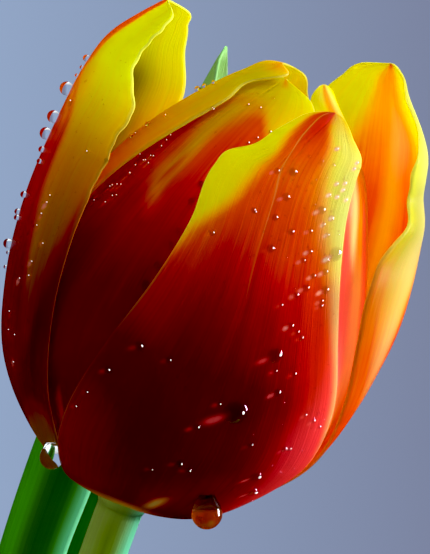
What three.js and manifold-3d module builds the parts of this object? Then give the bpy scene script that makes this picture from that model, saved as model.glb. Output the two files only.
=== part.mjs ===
// A tulip in a clear glass bud vase. Three outer and three inner tepals close round a pistil and six stamens,
// on a stem with two leaves that stands in water and leans on the vase's lip.
// Millimetres, +Z up. The origin is the middle of the vase's underside.
import * as THREE from "three";
import { mergeVertices } from "three/addons/utils/BufferGeometryUtils.js";
import Module from "manifold-3d";

const wasm = await Module();
wasm.setup();

// Clearance between neighbouring solids.
const GAP = 0.3;

// Vase.
const VASE_HEIGHT = 150;
const FOOT_RADIUS = 30;
const HEEL_RADIUS = 2;
const WALL = 2.4;
const FLOOR = 8;
const FLOOR_FILLET = 2;
const WATER_LEVEL = 98;
const VASE_SIDES = 36;
const PROFILE_STEPS = 14;
// Degrees round the half circle of the lip, from its outer side to its inner side.
const LIP_TURNS = [30, 90, 150];
// The outer wall above the heel: height and radius, from foot to lip.
const VASE_OUTLINE = [
  [HEEL_RADIUS, FOOT_RADIUS + HEEL_RADIUS],
  [28, 34.5],
  [52, 33],
  [78, 25],
  [104, 17.8],
  [126, 15.2],
  [140, 15.9],
  [VASE_HEIGHT, 18.6],
];

// Stem. It is a cubic Bezier from its cut end on the vase's floor to the base of the bloom.
const STEM_RADIUS = 3.5;
const STEM_CLEARANCE = 1.2 * GAP;
const STEM_SIDES = 12;
const STEM_STEPS = 36;
const BLOOM_BASE = new THREE.Vector3(39, -12.5, 252);
const BLOOM_LEAN = THREE.MathUtils.degToRad(21.2);
const BLOOM_NOD = THREE.MathUtils.degToRad(10);
const STEM_FOOT = new THREE.Vector3(-14, 5, FLOOR + 3.5 * GAP);
const STEM_RISE = new THREE.Vector3(2, 3, 98);
const STEM_REACH = 70;
// The share of the curve at which the bar ends, inside the receptacle.
const STEM_END = 0.988;

// Receptacle: height above the base of the bloom and radius. Its peg passes through the roots of the tepals.
const RECEPTACLE = [
  [-4, 0],
  [-4, 3.2],
  [-2.4, 3.9],
  [-1, 4.4],
  [-1, 1.6],
  [1.9, 1.6],
  [1.9, 0],
];
const RECEPTACLE_SIDES = 16;

// Tepals. Each is a thin shell whose stations run from root to tip: height and radius of the rib in the
// bloom's frame, azimuth of the rib (0 faces the viewer, 90 is the viewer's right), then the half angle that
// the tepal spans on its left and how far that margin stands out (negative is tucked in), and the same on its
// right.
const TEPAL_THICKNESS = 0.7;
const TEPAL_ROWS = 17;
const TEPAL_COLUMNS = 10;
const ROW_CROWDING = 1.5;
const MARGIN_POWER = 2.2;
const TEPALS = {
  tepal_outer_front: {
    rounding: [0.975, 0.5],
    stations: [
      [-0.2, 3.2, 14, 50, 0, 50, 0],
      [-0.3, 8.5, 14, 50, 0.3, 50, -0.4],
      [1.8, 14.3, 14, 50, 1, 50, -1],
      [6.8, 19.8, 14, 48, 1, 50, -1],
      [13.5, 24.3, 13.6, 43, 0.5, 48, -0.3],
      [24, 27.6, 13, 35, 0, 42, 0],
      [36, 29.2, 12, 26, 0, 31, 0],
      [46, 29, 10, 20.3, 0, 24.5, 0],
      [54, 28.2, 9.3, 19.3, 0, 22.8, 0],
      [56.6, 27.8, 9.6, 17.5, 0, 22, 0],
      [58.5, 27.6, 10.3, 12.5, 0, 21, 0],
      [61.5, 27.2, 12.5, 10, 0, 18, 0],
      [65, 26.8, 16.5, 7.6, 0, 9, 0],
      [66.4, 26.6, 17.5, 6, 0, 5, 0],
    ],
  },
  tepal_outer_left: {
    rounding: [0.965, 0.5],
    stations: [
      [-0.2, 3.2, -98, 48, 0, 48, 0],
      [-0.2, 8.5, -98, 48, 0, 50, 0],
      [2.4, 14, -98, 50, 0, 54, 0],
      [6.8, 19.4, -98, 50, 0, 59, -0.2],
      [13, 24.2, -98, 50, 0, 58, -0.3],
      [24, 28, -98, 50, -0.5, 53, -1.4],
      [36, 29.5, -98, 50, -1, 51, -2.3],
      [49, 29, -98, 50, -2, 51, -2.8],
      [57, 28, -97, 49, -2, 48, -2.5],
      [62, 26.6, -96, 46, -2, 40, -1.7],
      [66.5, 23.6, -93, 40, -1.5, 44, -0.7],
      [69.3, 21.4, -90, 32, -1, 43, 0],
      [70.6, 20.2, -88, 20, 0, 38, 0],
    ],
  },
  tepal_outer_right: {
    rounding: [0.975, 0.6],
    stations: [
      [-0.2, 3.2, 133, 50, 0, 46, 0],
      [-0.2, 8.5, 133, 52, 0, 46, 0],
      [2.4, 14, 133, 54, 0, 46, 0],
      [6.8, 19.4, 133, 55, -0.2, 46, 0],
      [13, 24.2, 133, 56, -0.3, 46, 0],
      [24, 28, 133, 62, -1.6, 46, 0],
      [36, 29.9, 133, 69, -3.8, 46, 0],
      [42, 29.5, 133, 70, -4, 45, 0],
      [49, 28.4, 133, 63, -3.8, 42, 0],
      [52.5, 27.6, 133, 57, -3, 40, 0],
      [56, 26.4, 133, 60, -3.2, 38, 0],
      [62.6, 23.4, 133, 59, -2.8, 34, 0],
      [67.5, 20.3, 131, 52, -2, 27, 0],
      [70.5, 18.4, 129, 36, -1.3, 20, 0],
      [72.6, 17.4, 127, 12, 0, 7, 0],
    ],
  },
  tepal_inner_left: {
    rounding: [0.96, 0.5],
    stations: [
      [0.9, 2.2, -38, 45, 0, 45, 0],
      [0.9, 7, -38, 46, -0.5, 46, 0],
      [3.4, 13, -38, 48, -0.8, 48, 0],
      [8.1, 17.9, -38, 50, -1, 50, 0],
      [13.8, 22.3, -38, 50, -1, 50, 0],
      [20, 24.9, -38, 50, -1, 50, 0],
      [27, 25.2, -37, 50, -1.1, 50, 0],
      [39.5, 21.6, -36, 50, -1.4, 50, 0],
      [48, 17.9, -34, 50, -1.4, 50, 0],
      [56, 13.2, -30, 50, -1, 54, 1.2],
      [61, 9.3, -24, 48, -1, 58, 2.3],
      [64.5, 5.5, -13, 45, -1.1, 50, 2.2],
      [66, 2.8, -4, 30, -0.3, 36, 0.9],
    ],
  },
  tepal_inner_right: {
    rounding: [0.96, 0.5],
    stations: [
      [0.9, 2.2, 76, 45, 0, 45, 0],
      [0.9, 7, 76, 46, -1, 46, 0],
      [3.4, 13, 76, 48, -1, 48, 0],
      [8.1, 17.9, 76, 50, -1, 50, 0],
      [13.8, 22.3, 76, 50, -1, 50, 0],
      [20, 24.9, 76, 50, -1, 50, 0],
      [27, 25.2, 76, 50, -1, 50, 0],
      [39.5, 22.4, 76, 50, -1, 50, 0],
      [48, 19.4, 76, 50, -1, 50, 0],
      [56, 15.8, 75, 43, -2, 50, 0],
      [61.5, 11.6, 71, 31, -2.5, 50, 0],
      [65, 8.2, 65, 24, -1.6, 45, 0],
      [67.3, 6.3, 58, 20, 0, 32, 0],
    ],
  },
  tepal_inner_back: {
    rounding: [0.965, 0.5],
    stations: [
      [0.9, 2.2, -152, 45, 0, 45, 0],
      [0.9, 7, -152, 46, -1, 46, 0],
      [3.4, 13, -152, 48, -1, 48, 0],
      [8.1, 17.9, -151, 50, -1, 52, 0.2],
      [13.8, 22.3, -150, 50, -1, 55, 0.3],
      [20, 24.9, -149, 50, -1, 62, 0.5],
      [27, 25.2, -148, 50, -1, 68, 0.7],
      [39.5, 21.8, -146, 55, -1, 79, 1.2],
      [48, 18.4, -143, 60, -1, 85, 1.4],
      [56, 13.4, -140, 70, -1, 93, 1.4],
      [61, 9.4, -137, 84, -1, 99, 1.5],
      [64.5, 6.1, -134, 92, -1, 100, 1.5],
      [67.2, 3.3, -130, 95, -0.5, 136, 1],
      [67.7, 1.2, -98, 85, 0, 110, 0],
    ],
  },
};

// Pistil: height, radius and how strongly its section is three-lobed.
const PISTIL = [
  [2.2, 2.6, 0],
  [6, 3.4, 0.08],
  [20, 3.2, 0.12],
  [24, 2.9, 0.15],
  [25.6, 4.2, 0.35],
  [27.4, 4.6, 0.42],
  [28.6, 3, 0.42],
];
const PISTIL_SIDES = 18;
const PISTIL_ROWS = 12;

// Stamens: filaments rise from a collar round the pistil's foot, each with an anther whose foot it runs
// into.
const STAMEN_COUNT = 6;
const COLLAR = { inner: 3.9, outer: 6, low: 2.2, high: 3, sides: 24 };
const FILAMENT = { root: [2.6, 4.9], tip: [13.6, 6.7], radius: 0.75, sides: 6 };
const ANTHER = { radius: 1.5, length: 13, foot: 11.6, sides: 8, rows: 6 };

// Leaves. Each grows from the stem at a share of its curve, follows it for the length of its sheath, and then
// leaves it along a cubic Bezier keel. Stations run from root to tip: share of the keel, radius of the
// channel, half angle that the blade spans round it, and the azimuth in plan that the channel opens towards.
// Lift is how much more the channel opens upwards than sideways where the keel runs level.
const LEAF_THICKNESS = 0.7;
const LEAF_ROWS = 26;
const LEAF_COLUMNS = 8;
const LEAF_TIP_ROUNDING = [0.94, 0.7];
const LEAVES = {
  leaf_tall: {
    root: 0.585,
    sheath: 8,
    lift: 0,
    keel: [
      [-7, 30, 215],
      [53.9, 22.5, 321],
    ],
    stations: [
      [0, 4.3, 112, -50],
      [0.06, 5, 98, -50],
      [0.14, 6.6, 86, -50],
      [0.26, 8.4, 86, -44],
      [0.4, 9.4, 98, -24],
      [0.55, 9.4, 104, -8],
      [0.7, 8.5, 100, -6],
      [0.85, 5.6, 98, -10],
      [0.94, 3.7, 96, -14],
      [1, 2.6, 70, -16],
    ],
  },
  leaf_low: {
    root: 0.7,
    sheath: 24,
    lift: 3,
    keel: [
      [56, -34, 258],
      [84, -46, 206],
    ],
    stations: [
      [0, 4.3, 112, 140],
      [0.12, 5.6, 104, 144],
      [0.3, 8.6, 84, 150],
      [0.5, 10.5, 70, 150],
      [0.7, 10.5, 56, 150],
      [0.87, 9, 46, 150],
      [0.95, 7.5, 36, 150],
      [1, 6.5, 24, 150],
    ],
  },
};

// Colour, roughness and metalness of each finish, and the opacity of the clear ones.
const FINISHES = {
  redTepal: { color: 0x8f1410, roughness: 0.45, metalness: 0 },
  yellowTepal: { color: 0xd9a41c, roughness: 0.45, metalness: 0 },
  orangeTepal: { color: 0xd2571c, roughness: 0.45, metalness: 0 },
  pistil: { color: 0xc3cf8a, roughness: 0.5, metalness: 0 },
  stamen: { color: 0x3a2a33, roughness: 0.8, metalness: 0 },
  stem: { color: 0x7d9444, roughness: 0.5, metalness: 0 },
  leaf: { color: 0x2f6b3c, roughness: 0.5, metalness: 0 },
  water: { color: 0xdfeaf0, roughness: 0.05, metalness: 0, opacity: 0.4 },
  glass: { color: 0xe6eeee, roughness: 0.05, metalness: 0, opacity: 0.3 },
};

const radians = THREE.MathUtils.degToRad;

// A smooth curve through rows of numbers, whose first column is the place along it: the other columns at x.
function smooth(rows, x) {
  const last = rows.length - 1;
  let i = 0;
  while (i < last - 1 && x >= rows[i + 1][0]) i += 1;
  const width = (k) => rows[k + 1][0] - rows[k][0];
  const rise = (k, c) => (rows[k + 1][c] - rows[k][c]) / width(k);
  const slope = (k, c) => {
    if (k === 0) return rise(0, c);
    if (k === last) return rise(last - 1, c);
    const before = width(k - 1);
    const after = width(k);
    return (rise(k - 1, c) * after + rise(k, c) * before) / (before + after);
  };
  const w = width(i);
  const t = (x - rows[i][0]) / w;
  const stay = 2 * t ** 3 - 3 * t ** 2 + 1;
  const values = [];
  for (let c = 1; c < rows[i].length; c += 1) {
    values.push(
      stay * rows[i][c] +
        (1 - stay) * rows[i + 1][c] +
        (t ** 3 - 2 * t ** 2 + t) * w * slope(i, c) +
        (t ** 3 - t ** 2) * w * slope(i + 1, c),
    );
  }
  return values;
}

// How much of its width a blade keeps at share u of its length, where its tip rounds off from start on.
function tipShare(u, [start, power]) {
  const x = Math.max(0, (u - start) / (1 - start));
  return (1 - Math.min(x, 1) ** 2) ** power;
}

function geometryOf(points, faces) {
  const geometry = new THREE.BufferGeometry().setFromPoints(points);
  geometry.setIndex(faces.flat());
  return geometry;
}

// A closed thin solid round a sheet of points. Its rows run from root to tip, and its last row is the one tip
// point.
function blade(rows, thickness) {
  const across = rows[0].length;
  const tip = rows.length - 1;
  const at = (i, j) => rows[i][i === tip ? 0 : Math.min(Math.max(j, 0), across - 1)];
  const normals = rows.slice(0, tip).map((row, i) =>
    row.map((_, j) => {
      const along = at(i + 1, j).clone().sub(at(Math.max(i - 1, 0), j));
      const side = at(i, j + 1).clone().sub(at(i, j - 1));
      return along.cross(side).normalize();
    }),
  );
  const mean = normals[tip - 1].reduce((sum, n) => sum.add(n), new THREE.Vector3());
  normals.push([mean.normalize()]);

  const faceOf = (sign) =>
    rows.flatMap((row, i) =>
      row.map((p, j) => p.clone().addScaledVector(normals[i][j], (sign * thickness) / 2)),
    );
  const front = faceOf(1);
  const index = (i, j) => (i === tip ? tip * across : i * across + j);
  const triangles = [];
  const rim = [];
  for (let i = 0; i < tip; i += 1) {
    for (let j = 0; j < across - 1; j += 1) {
      const [a, b, c, d] = [index(i, j), index(i + 1, j), index(i + 1, j + 1), index(i, j + 1)];
      if (i === tip - 1) triangles.push([a, b, d]);
      else triangles.push([a, b, c], [a, c, d]);
    }
  }
  for (let i = 0; i <= tip; i += 1) rim.push(index(i, 0));
  for (let i = tip - 1; i >= 0; i -= 1) rim.push(index(i, across - 1));
  for (let j = across - 2; j > 0; j -= 1) rim.push(index(0, j));

  const n = front.length;
  const back = triangles.map(([a, b, c]) => [a + n, c + n, b + n]);
  const edge = rim.flatMap((p, k) => {
    const q = rim[(k + 1) % rim.length];
    return [
      [q, p, p + n],
      [q, p + n, q + n],
    ];
  });
  return geometryOf([...front, ...faceOf(-1)], [...triangles, ...back, ...edge]);
}

// A closed solid through rings of points that all have the same count, with a fan at each end.
function loft(rings) {
  const count = rings[0].length;
  const points = rings.flat();
  const faces = [];
  for (let i = 0; i < rings.length - 1; i += 1) {
    for (let j = 0; j < count; j += 1) {
      const k = (j + 1) % count;
      const [a, b, c, d] = [i * count + j, i * count + k, (i + 1) * count + k, (i + 1) * count + j];
      faces.push([a, b, c], [a, c, d]);
    }
  }
  const centre = (ring) => ring.reduce((sum, p) => sum.add(p), new THREE.Vector3()).divideScalar(count);
  points.push(centre(rings[0]), centre(rings.at(-1)));
  const top = (rings.length - 1) * count;
  for (let j = 0; j < count; j += 1) {
    const k = (j + 1) % count;
    faces.push([points.length - 2, k, j], [points.length - 1, top + j, top + k]);
  }
  return geometryOf(points, faces);
}

// Joins and cuts closed geometries.
function solidOf(geometry) {
  const bare = geometry.index ? geometry.toNonIndexed() : geometry.clone();
  const places = new THREE.BufferGeometry().setAttribute("position", bare.getAttribute("position"));
  const merged = mergeVertices(places, 1e-3);
  return new wasm.Manifold(
    new wasm.Mesh({
      numProp: 3,
      vertProperties: merged.attributes.position.array,
      triVerts: new Uint32Array(merged.index.array),
    }),
  );
}

function geometryFrom(solid) {
  const mesh = solid.getMesh();
  const points = [];
  for (let i = 0; i < mesh.numVert; i += 1) {
    points.push(new THREE.Vector3().fromArray(mesh.vertProperties, i * mesh.numProp));
  }
  const geometry = new THREE.BufferGeometry().setFromPoints(points);
  geometry.setIndex([...mesh.triVerts]);
  return geometry;
}

const join = (parts) => geometryFrom(parts.map(solidOf).reduce((sum, part) => sum.add(part)));
const cut = (body, tool) => geometryFrom(solidOf(body).subtract(solidOf(tool)));

// Turns an outline of [height, radius] pairs into a body of revolution about +Z.
function turned(outline, sides) {
  const profile = outline.map(([z, r]) => new THREE.Vector2(r, z));
  return new THREE.LatheGeometry(profile, sides).rotateX(Math.PI / 2);
}

// The bloom's frame: its axis, the viewer's right across it, and the way it faces.
const bloomAxis = new THREE.Vector3(
  Math.sin(BLOOM_LEAN) * Math.cos(BLOOM_NOD),
  -Math.sin(BLOOM_NOD),
  Math.cos(BLOOM_LEAN) * Math.cos(BLOOM_NOD),
);
const bloomRight = new THREE.Vector3(Math.cos(BLOOM_LEAN), 0, -Math.sin(BLOOM_LEAN));
const bloomFront = bloomRight.clone().cross(bloomAxis);
const bloomFrame = new THREE.Matrix4()
  .makeBasis(bloomRight, bloomFront.clone().negate(), bloomAxis)
  .setPosition(BLOOM_BASE);

// A point of the bloom by its height, radius and azimuth.
function inBloom(height, radius, azimuth) {
  const place = new THREE.Vector3(radius * Math.sin(azimuth), -radius * Math.cos(azimuth), height);
  return place.applyMatrix4(bloomFrame);
}

function stemCurve() {
  const bend = BLOOM_BASE.clone().addScaledVector(bloomAxis, -STEM_REACH);
  return new THREE.CubicBezierCurve3(STEM_FOOT, STEM_RISE, bend, BLOOM_BASE);
}

function tepal({ stations, rounding }) {
  let length = 0;
  const placed = stations.map((row, i) => {
    if (i > 0) length += Math.hypot(row[0] - stations[i - 1][0], row[1] - stations[i - 1][1]);
    return [length, ...row];
  });
  const shares = placed.map(([place, ...row]) => [place / length, ...row]);
  const rows = [];
  for (let i = 0; i <= TEPAL_ROWS; i += 1) {
    const u = 1 - (1 - i / TEPAL_ROWS) ** ROW_CROWDING;
    const [height, radius, azimuth, left, leftOut, right, rightOut] = smooth(shares, u);
    const kept = tipShare(u, rounding);
    const row = [];
    for (let j = 0; j <= (i < TEPAL_ROWS ? TEPAL_COLUMNS : 0); j += 1) {
      const v = (2 * j) / TEPAL_COLUMNS - 1;
      const [span, out] = v < 0 ? [left, leftOut] : [right, rightOut];
      const standing = radius + kept * out * Math.abs(v) ** MARGIN_POWER;
      row.push(inBloom(height, standing, radians(azimuth + v * span * kept)));
    }
    rows.push(row);
  }
  return blade(rows, TEPAL_THICKNESS);
}

// The direction in which a channel of the given azimuth opens, square to the way the blade runs.
function opening(azimuth, lift, along) {
  const open = new THREE.Vector3(Math.cos(radians(azimuth)), Math.sin(radians(azimuth)), lift);
  return open.addScaledVector(along, -open.dot(along)).normalize();
}

function leaf({ root, sheath, lift, keel, stations }) {
  const [, clasp, , facing] = stations[0];
  const grain = stemCurve().getTangent(root);
  const start = stemCurve().getPoint(root).addScaledVector(opening(facing, lift, grain), -clasp);
  const curve = new THREE.CubicBezierCurve3(
    start,
    start.clone().addScaledVector(grain, sheath),
    ...keel.map((p) => new THREE.Vector3(...p)),
  );
  const rows = [];
  for (let i = 0; i <= LEAF_ROWS; i += 1) {
    const t = i / LEAF_ROWS;
    const [radius, span, azimuth] = smooth(stations, t);
    const along = curve.getTangent(t);
    const open = opening(azimuth, lift, along);
    const side = along.clone().cross(open);
    const kept = tipShare(t, LEAF_TIP_ROUNDING);
    const row = [];
    for (let j = 0; j <= (i < LEAF_ROWS ? LEAF_COLUMNS : 0); j += 1) {
      const angle = radians(span) * kept * ((2 * j) / LEAF_COLUMNS - 1);
      row.push(
        curve
          .getPoint(t)
          .addScaledVector(open, radius * (1 - Math.cos(angle)))
          .addScaledVector(side, -radius * Math.sin(angle)),
      );
    }
    rows.push(row);
  }
  return blade(rows, LEAF_THICKNESS);
}

function tube(curve, radius, sides, steps) {
  const corners = new THREE.EllipseCurve(0, 0, radius, radius).getPoints(sides).slice(0, sides);
  const ring = new THREE.Shape(corners);
  return new THREE.ExtrudeGeometry(ring, { steps, bevelEnabled: false, extrudePath: curve });
}

// The stem as a round bar that stops inside the receptacle and starts below its cut end by extra.
function stemBar(radius, extra) {
  const curve = stemCurve();
  const points = [curve.getPoint(0).addScaledVector(curve.getTangent(0), -extra)];
  for (let i = 1; i <= STEM_STEPS; i += 1) points.push(curve.getPoint((i / STEM_STEPS) * STEM_END));
  return tube(new THREE.CatmullRomCurve3(points), radius, STEM_SIDES, STEM_STEPS);
}

function stem() {
  return join([stemBar(STEM_RADIUS, 0), turned(RECEPTACLE, RECEPTACLE_SIDES).applyMatrix4(bloomFrame)]);
}

function pistil() {
  const rings = [];
  for (let i = 0; i <= PISTIL_ROWS; i += 1) {
    const low = PISTIL[0][0];
    const height = low + ((PISTIL.at(-1)[0] - low) * i) / PISTIL_ROWS;
    const [radius, lobes] = smooth(PISTIL, height);
    const ring = [];
    for (let j = 0; j < PISTIL_SIDES; j += 1) {
      const azimuth = (2 * Math.PI * j) / PISTIL_SIDES;
      ring.push(inBloom(height, radius * (1 + lobes * Math.cos(3 * azimuth)), azimuth));
    }
    rings.push(ring);
  }
  return loft(rings);
}

function stamens() {
  const collarOutline = [
    [COLLAR.low, COLLAR.inner],
    [COLLAR.low, COLLAR.outer],
    [COLLAR.high, COLLAR.outer],
    [COLLAR.high, COLLAR.inner],
    [COLLAR.low, COLLAR.inner],
  ];
  const parts = [turned(collarOutline, COLLAR.sides).applyMatrix4(bloomFrame)];
  for (let i = 0; i < STAMEN_COUNT; i += 1) {
    const azimuth = (2 * Math.PI * i) / STAMEN_COUNT;
    const line = new THREE.LineCurve3(inBloom(...FILAMENT.root, azimuth), inBloom(...FILAMENT.tip, azimuth));
    parts.push(tube(line, FILAMENT.radius, FILAMENT.sides, 1));
    const middle = inBloom(ANTHER.foot + ANTHER.length / 2, FILAMENT.tip[1], azimuth);
    const anther = new THREE.SphereGeometry(1, ANTHER.sides, ANTHER.rows).rotateX(Math.PI / 2);
    anther.scale(ANTHER.radius, ANTHER.radius, ANTHER.length / 2);
    parts.push(anther.applyMatrix4(bloomFrame.clone().setPosition(middle)));
  }
  return join(parts);
}

// The vase's wall as [height, radius] pairs from heel to lip, moved inwards by inset.
function wallOutline(inset, low, high) {
  const pairs = [];
  for (let i = 0; i <= PROFILE_STEPS; i += 1) {
    const z = low + ((high - low) * i) / PROFILE_STEPS;
    pairs.push([z, smooth(VASE_OUTLINE, z)[0] - inset]);
  }
  return pairs;
}

function vase() {
  const top = VASE_HEIGHT - WALL / 2;
  const outer = wallOutline(0, HEEL_RADIUS, top);
  const inner = wallOutline(WALL, FLOOR + FLOOR_FILLET, top).reverse();
  const lipRadius = outer.at(-1)[1] - WALL / 2;
  const lip = LIP_TURNS.map((turn) => [
    top + (WALL / 2) * Math.sin(radians(turn)),
    lipRadius + (WALL / 2) * Math.cos(radians(turn)),
  ]);
  const floorEdge = smooth(VASE_OUTLINE, FLOOR)[0] - WALL - FLOOR_FILLET;
  const underside = [[0, 0], [0, FOOT_RADIUS]];
  const floor = [[FLOOR, floorEdge], [FLOOR, 0]];
  return turned([...underside, ...outer, ...lip, ...inner, ...floor], VASE_SIDES);
}

function water() {
  const low = FLOOR + GAP;
  const inset = WALL + 2 * GAP;
  const side = wallOutline(inset, FLOOR + FLOOR_FILLET, WATER_LEVEL);
  const floorEdge = smooth(VASE_OUTLINE, FLOOR)[0] - inset - FLOOR_FILLET;
  const body = turned([[low, 0], [low, floorEdge], ...side, [WATER_LEVEL, 0]], VASE_SIDES);
  return cut(body, stemBar(STEM_RADIUS + STEM_CLEARANCE, STEM_RADIUS));
}

const tulip = new THREE.Group();

function add(name, geometry, finish) {
  const look = FINISHES[finish];
  const material = new THREE.MeshStandardMaterial({ ...look, transparent: "opacity" in look });
  const mesh = new THREE.Mesh(geometry, material);
  mesh.name = name;
  tulip.add(mesh);
}

const TEPAL_FINISHES = {
  tepal_outer_front: "redTepal",
  tepal_outer_left: "yellowTepal",
  tepal_outer_right: "orangeTepal",
  tepal_inner_left: "redTepal",
  tepal_inner_right: "orangeTepal",
  tepal_inner_back: "yellowTepal",
};
for (const [name, shape] of Object.entries(TEPALS)) add(name, tepal(shape), TEPAL_FINISHES[name]);
add("pistil", pistil(), "pistil");
add("stamens", stamens(), "stamen");
add("stem", stem(), "stem");
for (const [name, shape] of Object.entries(LEAVES)) add(name, leaf(shape), "leaf");
add("water", water(), "water");
add("vase", vase(), "glass");

export default tulip;
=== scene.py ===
"""A red and yellow tulip with dew on it, leaning in a clear glass bud vase.

Shapes are worked out in millimetres, and become metres when a mesh is made. A place on a tepal or leaf is
given by share, from 0 at its root to 1 at its tip, and by across, from -1 at its left margin to 1 at its
right one.
"""

import logging
import math
from dataclasses import dataclass
from enum import Enum

import bpy
import numpy as np
from mathutils import Matrix, Vector
from mathutils.bvhtree import BVHTree


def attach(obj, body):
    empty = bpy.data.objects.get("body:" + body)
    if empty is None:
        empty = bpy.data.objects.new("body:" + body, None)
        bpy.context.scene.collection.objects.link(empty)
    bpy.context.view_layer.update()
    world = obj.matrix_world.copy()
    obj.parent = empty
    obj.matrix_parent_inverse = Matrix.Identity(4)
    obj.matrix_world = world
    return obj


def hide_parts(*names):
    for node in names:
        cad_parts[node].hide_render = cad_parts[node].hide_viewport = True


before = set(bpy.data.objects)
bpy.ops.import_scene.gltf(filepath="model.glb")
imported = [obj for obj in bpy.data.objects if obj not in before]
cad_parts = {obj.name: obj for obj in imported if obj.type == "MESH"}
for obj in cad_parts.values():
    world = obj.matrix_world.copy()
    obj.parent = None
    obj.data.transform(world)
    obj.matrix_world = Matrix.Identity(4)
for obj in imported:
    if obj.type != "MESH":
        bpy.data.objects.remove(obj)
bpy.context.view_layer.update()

LOG = logging.getLogger("tulip")

MM = 0.001
Piece = bpy.types.Object
Socket = bpy.types.NodeSocket
Material = bpy.types.Material
Rows = tuple[tuple[float, ...], ...]
Colour = tuple[float, float, float]
Stops = tuple[tuple[float, Colour], ...]
Grid = np.ndarray

# The photograph's frame and focal length in pixels, and its camera's place and sensor in millimetres.
PHOTO_WIDTH = 430
PHOTO_HEIGHT = 554
FOCAL_PIXELS = 2800
EYE = (52.05, -432.5, 283.5)
SENSOR = 36

# The depths in millimetres at which a line of sight can pass the bloom.
BLOOM_DEPTHS = range(380, 500)

# The bloom: where it sits on the stem, how it leans to the right and how it nods forwards.
BLOOM_BASE = np.array((39.0, -12.5, 252.0))
BLOOM_LEAN = math.radians(21.2)
BLOOM_NOD = math.radians(10)
AXIS = np.array((
    math.sin(BLOOM_LEAN) * math.cos(BLOOM_NOD),
    -math.sin(BLOOM_NOD),
    math.cos(BLOOM_LEAN) * math.cos(BLOOM_NOD),
))
RIGHT = np.array((math.cos(BLOOM_LEAN), 0.0, -math.sin(BLOOM_LEAN)))
FACING = np.cross(RIGHT, AXIS)

# The stem, from its cut end over the vase's floor to the base of the bloom. STEM_RISE is its curve's second
# control point, and the third lies STEM_REACH before the bloom along its axis.
STEM_RADIUS = 3.5
STEM_FOOT = np.array((-14.0, 5.0, 9.05))
STEM_RISE = np.array((2.0, 3.0, 98.0))
STEM_REACH = 70

# The vase and its water. The outline holds heights and outer radii.
VASE_HEIGHT = 150
FOOT_RADIUS = 30
HEEL_RADIUS = 2
WALL = 2.4
FLOOR = 8.0
FLOOR_FILLET = 3
WATER_LEVEL = 98.0
VASE_OUTLINE: Rows = (
    (HEEL_RADIUS, FOOT_RADIUS + HEEL_RADIUS), (28, 34.5), (52, 33), (78, 25),
    (104, 17.8), (126, 15.2), (140, 15.9), (VASE_HEIGHT, 18.6),
)


# Curves, points and meshes.


def smooth(rows: Rows, x: Grid) -> Grid:
    """A smooth curve through rows of numbers.

    Args:
        rows: rows whose first number is the place along the curve.
        x: places to read the curve at.

    Returns:
        The other numbers of the rows at x, in the last dimension.
    """
    table = np.asarray(rows, float)
    places, values = table[:, 0], table[:, 1:]
    width = np.diff(places)
    rise = np.diff(values, axis=0) / width[:, None]
    # With two rows there is one step, and this is empty.
    inner = (rise[:-1] * width[1:, None] + rise[1:] * width[:-1, None]) / (width[1:] + width[:-1])[:, None]
    slope = np.vstack([rise[:1], inner, rise[-1:]])
    x = np.asarray(x, float)
    i = np.clip(np.searchsorted(places, x, side="right") - 1, 0, len(width) - 1)
    w = width[i][..., None]
    t = (x[..., None] - places[i][..., None]) / w
    stay = 2 * t**3 - 3 * t**2 + 1
    return (
        stay * values[i]
        + (1 - stay) * values[i + 1]
        + (t**3 - 2 * t**2 + t) * w * slope[i]
        + (t**3 - t**2) * w * slope[i + 1]
    )


def fade(x: Grid, start: float, end: float) -> Grid:
    """A soft step of x from 0 at start to 1 at end."""
    t = np.clip((np.asarray(x, float) - start) / (end - start), 0, 1)
    return t * t * (3 - 2 * t)


def tip_share(share: Grid, start: float, power: float) -> Grid:
    """How much of its width a blade keeps at a share of its length, if its tip rounds off from start on."""
    return (1 - np.clip((share - start) / (1 - start), 0, 1) ** 2) ** power


def unit(vectors: Grid) -> Grid:
    """Vectors at length one."""
    return vectors / np.maximum(np.linalg.norm(vectors, axis=-1, keepdims=True), 1e-12)


def circle(sides: int) -> Grid:
    """The angles of a ring's sides, in radians."""
    return np.linspace(0, 2 * math.pi, sides, endpoint=False)


def bezier(points: list[Grid], t: Grid) -> tuple[Grid, Grid]:
    """A cubic curve.

    Args:
        points: its four control points.
        t: places along it, from 0 to 1.

    Returns:
        The points at t, and the unit directions there.
    """
    a, b, c, d = (np.asarray(p, float) for p in points)
    t = np.asarray(t, float)[..., None]
    place = (1 - t) ** 3 * a + 3 * (1 - t) ** 2 * t * b + 3 * (1 - t) * t**2 * c + t**3 * d
    along = (1 - t) ** 2 * (b - a) + 2 * (1 - t) * t * (c - b) + t**2 * (d - c)
    return place, unit(along)


def stem_curve(t: Grid) -> tuple[Grid, Grid]:
    """Points and directions of the stem's middle line at shares t of its curve."""
    return bezier([STEM_FOOT, STEM_RISE, BLOOM_BASE - STEM_REACH * AXIS, BLOOM_BASE], t)


def in_bloom(height: Grid, radius: Grid, azimuth: Grid) -> Grid:
    """Points by height and radius in the bloom and azimuth in radians, which is 0 towards the viewer."""
    across = np.cos(azimuth)[..., None] * FACING + np.sin(azimuth)[..., None] * RIGHT
    return BLOOM_BASE + height[..., None] * AXIS + radius[..., None] * across


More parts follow.
